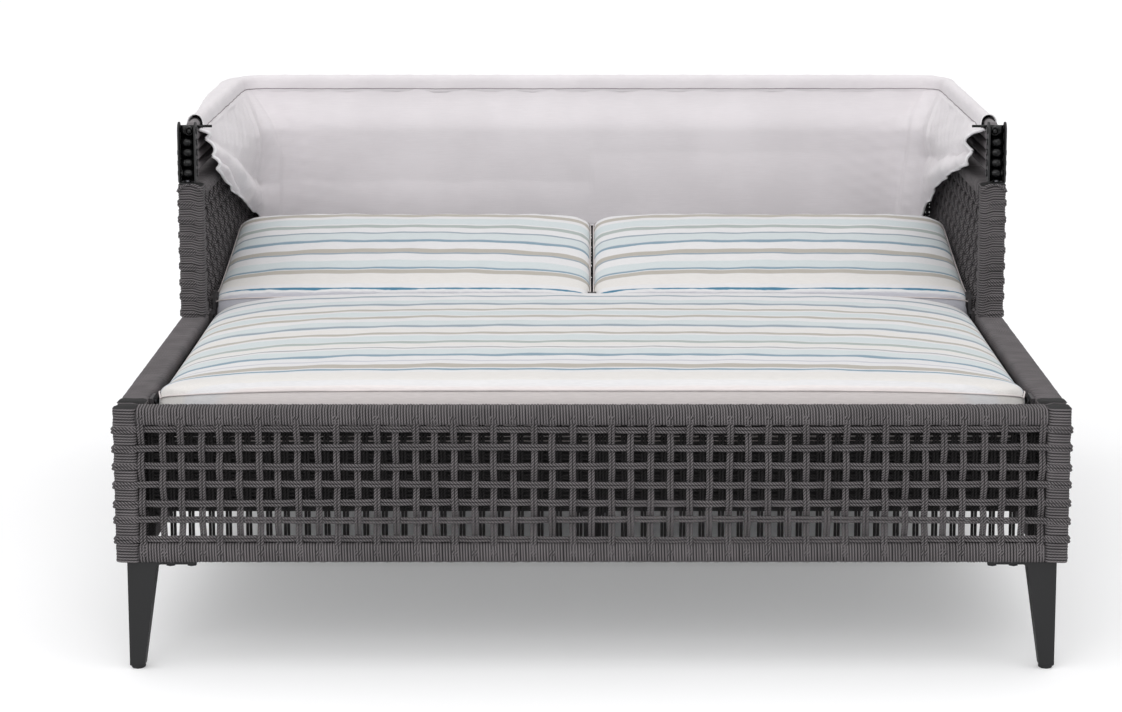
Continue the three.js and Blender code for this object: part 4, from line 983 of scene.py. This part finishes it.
def apply_all(obj):
    """Replaces an object's mesh by its evaluated one and drops its modifiers."""
    graph = bpy.context.evaluated_depsgraph_get()
    made = bpy.data.meshes.new_from_object(obj.evaluated_get(graph), depsgraph=graph)
    materials = list(obj.data.materials)
    obj.modifiers.clear()
    obj.data = made
    if not made.materials:
        for material in materials:
            made.materials.append(material)


def smoothed(obj):
    obj.data.polygons.foreach_set("use_smooth", np.full(len(obj.data.polygons), True))


def rim(grid):
    """A grid's border, once round."""
    return np.concatenate([grid[0], grid[1:, -1], grid[-1, -2::-1], grid[-2:0:-1, 0]])


def cushion(name, node, body, material, size, drops, corners, place, lean=0.0, notch=None):
    half_x, half_y, thick = size
    cols, rows = ((69, 43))
    x, y, up, down = cushion_points(half_x, half_y, thick, drops, cols, rows, corners)
    wrinkle = 0.0009 * np.sin(x * 31 + y * 11) * np.sin(y * 23 - x * 7) + 0.0006 * np.sin(x * 67 - y * 41)
    inside = np.clip((1 - (x / half_x) ** 2) * (1 - (y / half_y) ** 2) * 4, 0, 1)
    up = up + wrinkle * inside

    def leaning(y, z):
        return lean * (1 - y / half_y) / 2 * (z / thick)

    heap = Heap()
    for z, flip in ((up, False), (down, True)):
        points = np.stack([x, y + leaning(y, z), z], axis=-1)
        heap.grid(points[:, ::-1] if flip else points)
    rim_x, rim_y, rim_up, rim_down = rim(x), rim(y), rim(up), rim(down)

    def ring_at(t, swell):
        z = rim_down * (1 - t) + rim_up * t
        px, py = rim_x * (1 + swell / half_x), rim_y * (1 + swell / half_y)
        return np.stack([px, py + leaning(rim_y, z), z], axis=-1)

    levels = [ring_at(t, 0.0025 * math.sin(t * math.pi)) for t in np.linspace(0, 1, 7)]
    heap.grid(np.array(levels), closed=True)
    made = heap.make(name, material, body, "cushion", (node,), place)
    weld(made)
    puff(made, 0.009, 0.003, 2.0)
    smoothed(made)
    if notch:
        notch(made)
    sub = made.modifiers.new("soft", "SUBSURF")
    sub.levels = sub.render_levels = 1
    cords = Heap()
    for t in (0.04, 0.96):
        ring = ring_at(t, 0.0012)
        cords.tube(np.vstack([ring, ring[:2]]), 0.0013, 6, ref=(0.01, 0.02, 1), capped=False)
    cords.make(name + "_piping", piping, body, "cushion", place=place)


def weld(obj):
    mesh = bmesh.new()
    mesh.from_mesh(obj.data)
    bmesh.ops.remove_doubles(mesh, verts=mesh.verts, dist=0.0002)
    bmesh.ops.recalc_face_normals(mesh, faces=mesh.faces)
    mesh.to_mesh(obj.data)
    mesh.free()
    smoothed(obj)


seat_middle = -HALF_D + (SEAT_FRONT + SEAT_REAR) / 2
cushion("seat_pad", "seat_cushion", "bed", seat_fabric, size=(0.7055, 0.409, 0.108),
        drops=(0.044, 0.011, 0.008, 0.0), corners=(0.010, 0.034, 0.002),
        place=(np.eye(3), (0, seat_middle, SEAT_FLOOR)))
tip = np.array([[1, 0, 0], [0, math.cos(TILT), -math.sin(TILT)], [0, math.sin(TILT), math.cos(TILT)]])


def clear_lug(obj):
    """Pushes a back cushion's inner corner off the hinge lug beside it."""
    points = coordinates(obj)
    local = (points - np.array(HINGE)) @ tip
    side = np.sign(local[:, 0].mean())
    reach = ease((0.019 - local[:, 1]) / 0.006) * ease((0.019 - local[:, 2]) / 0.006)
    wanted = np.maximum(0.0016, 0.0092 * reach)
    points[:, 0] = side * np.clip(side * points[:, 0], wanted, 0.7115)
    move_to(obj, points)


for side, sign in (("right", 1), ("left", -1)):
    local = np.array([sign * 0.3556, 0.2070, -0.0657])
    move = tip @ local + np.array(HINGE)
    cushion(side + "_back_pad", side + "_back_cushion", side + "_backrest_body", back_fabric,
            size=(0.3525, 0.2300, 0.084), drops=(0.022, 0.009, 0.004, 0.009), corners=(0.003, 0.004, 0.002),
            place=(tip, move), lean=0.012, notch=clear_lug)


# Carried-over CAD nodes get their materials. The first of these words that a node's name holds decides.
FINISHES = {"bolt": bolt_steel, "_leg": leg_coat, "clevis": leg_coat, "glide": glide_plastic,
            "deck": frame_coat, "hinge_plate": frame_coat, "backrest": frame_coat, "beam": frame_coat,
            "frame": frame_coat}
for name, node in frame["nodes"].items():
    finish = next((material for word, material in FINISHES.items() if word in name), None)
    if finish is None:
        continue
    if not node.material_slots:
        node.data.materials.append(finish)
    for slot in node.material_slots:
        slot.material = finish


# Floor, light and camera.
def floor():
    bpy.ops.mesh.primitive_plane_add(size=40, location=(0, 4, 0))
    plane = bpy.context.active_object
    plane.name = "floor"
    s = Shader("floor_white", srgb(240, 240, 241), 0.9)
    s.color(s.mix(s.fit(s.noise(0.6, 3), 0.3, 0.7), srgb(232, 232, 233), srgb(228, 228, 229)))
    # Painted light: to the camera the floor glows, round the bed and also under the bed's front part, where
    # it lifts the bed's shadow. The glow fades out under the rest of the bed, away from its sides, where the
    # panels' gaps show the floor.
    x, y, _ = s.parts(s.coord("Object"))
    across = s.fit(s.math("ABSOLUTE", x), 0.56, 0.76, 1.0, 0.0)
    deep = s.times(s.fit(y, -4.25, -3.92), s.fit(y, -3.2, -2.9, 1.0, 0.0))
    shadow_lifting_glow = s.minus(0.24, s.times(s.times(across, deep), 0.24))
    shadow_lifting_glow = s.times(shadow_lifting_glow, s.add("LightPath").outputs["Is Camera Ray"])
    s.put(s.bsdf.inputs["Emission Color"], (1.0, 1.0, 1.0, 1.0))
    s.put(s.bsdf.inputs["Emission Strength"], shadow_lifting_glow)
    plane.data.materials.append(s.mat)


def light(name, energy, size, place, aim):
    data = bpy.data.lights.new(name, "AREA")
    data.shape, data.size, data.size_y, data.energy = "RECTANGLE", size[0], size[1], energy
    made = linked(name, data)
    made.location = place
    made.rotation_euler = (Vector(aim) - Vector(place)).to_track_quat("-Z", "Y").to_euler()


def overhead(strength, angle, lean):
    data = bpy.data.lights.new("overhead", "SUN")
    data.energy, data.angle = strength, math.radians(angle)
    linked("overhead", data).rotation_euler = tuple(math.radians(a) for a in lean)


def world(strength):
    made = bpy.data.worlds.new("soft_world")
    bpy.context.scene.world = made
    made.use_nodes = True
    back = made.node_tree.nodes["Background"]
    back.inputs[0].default_value = (1.0, 1.0, 1.0, 1.0)
    back.inputs[1].default_value = strength


def camera():
    data = bpy.data.cameras.new("camera")
    picture, focal, sensor, down = 1122, 2942.6, 36.0, 0.1718
    data.sensor_fit, data.sensor_width, data.lens = "HORIZONTAL", sensor, sensor * focal / picture
    data.shift_x, data.shift_y = -31 / picture, -0.07
    data.clip_end = 100
    made = linked("camera", data)
    made.location = (0, -HALF_D - 4.5463, 1.4301)
    made.rotation_euler = (math.pi / 2 - down, 0, 0)
    bpy.context.scene.camera = made


floor()
world(0.70)
overhead(1.05, 90, (18, -4, 0))
light("key", 75, (4, 3), (-0.6, -5.0, 2.6), (0, 0, 0.4))
camera()
bpy.context.scene.view_settings.view_transform = "Standard"

bpy.context.view_layer.update()
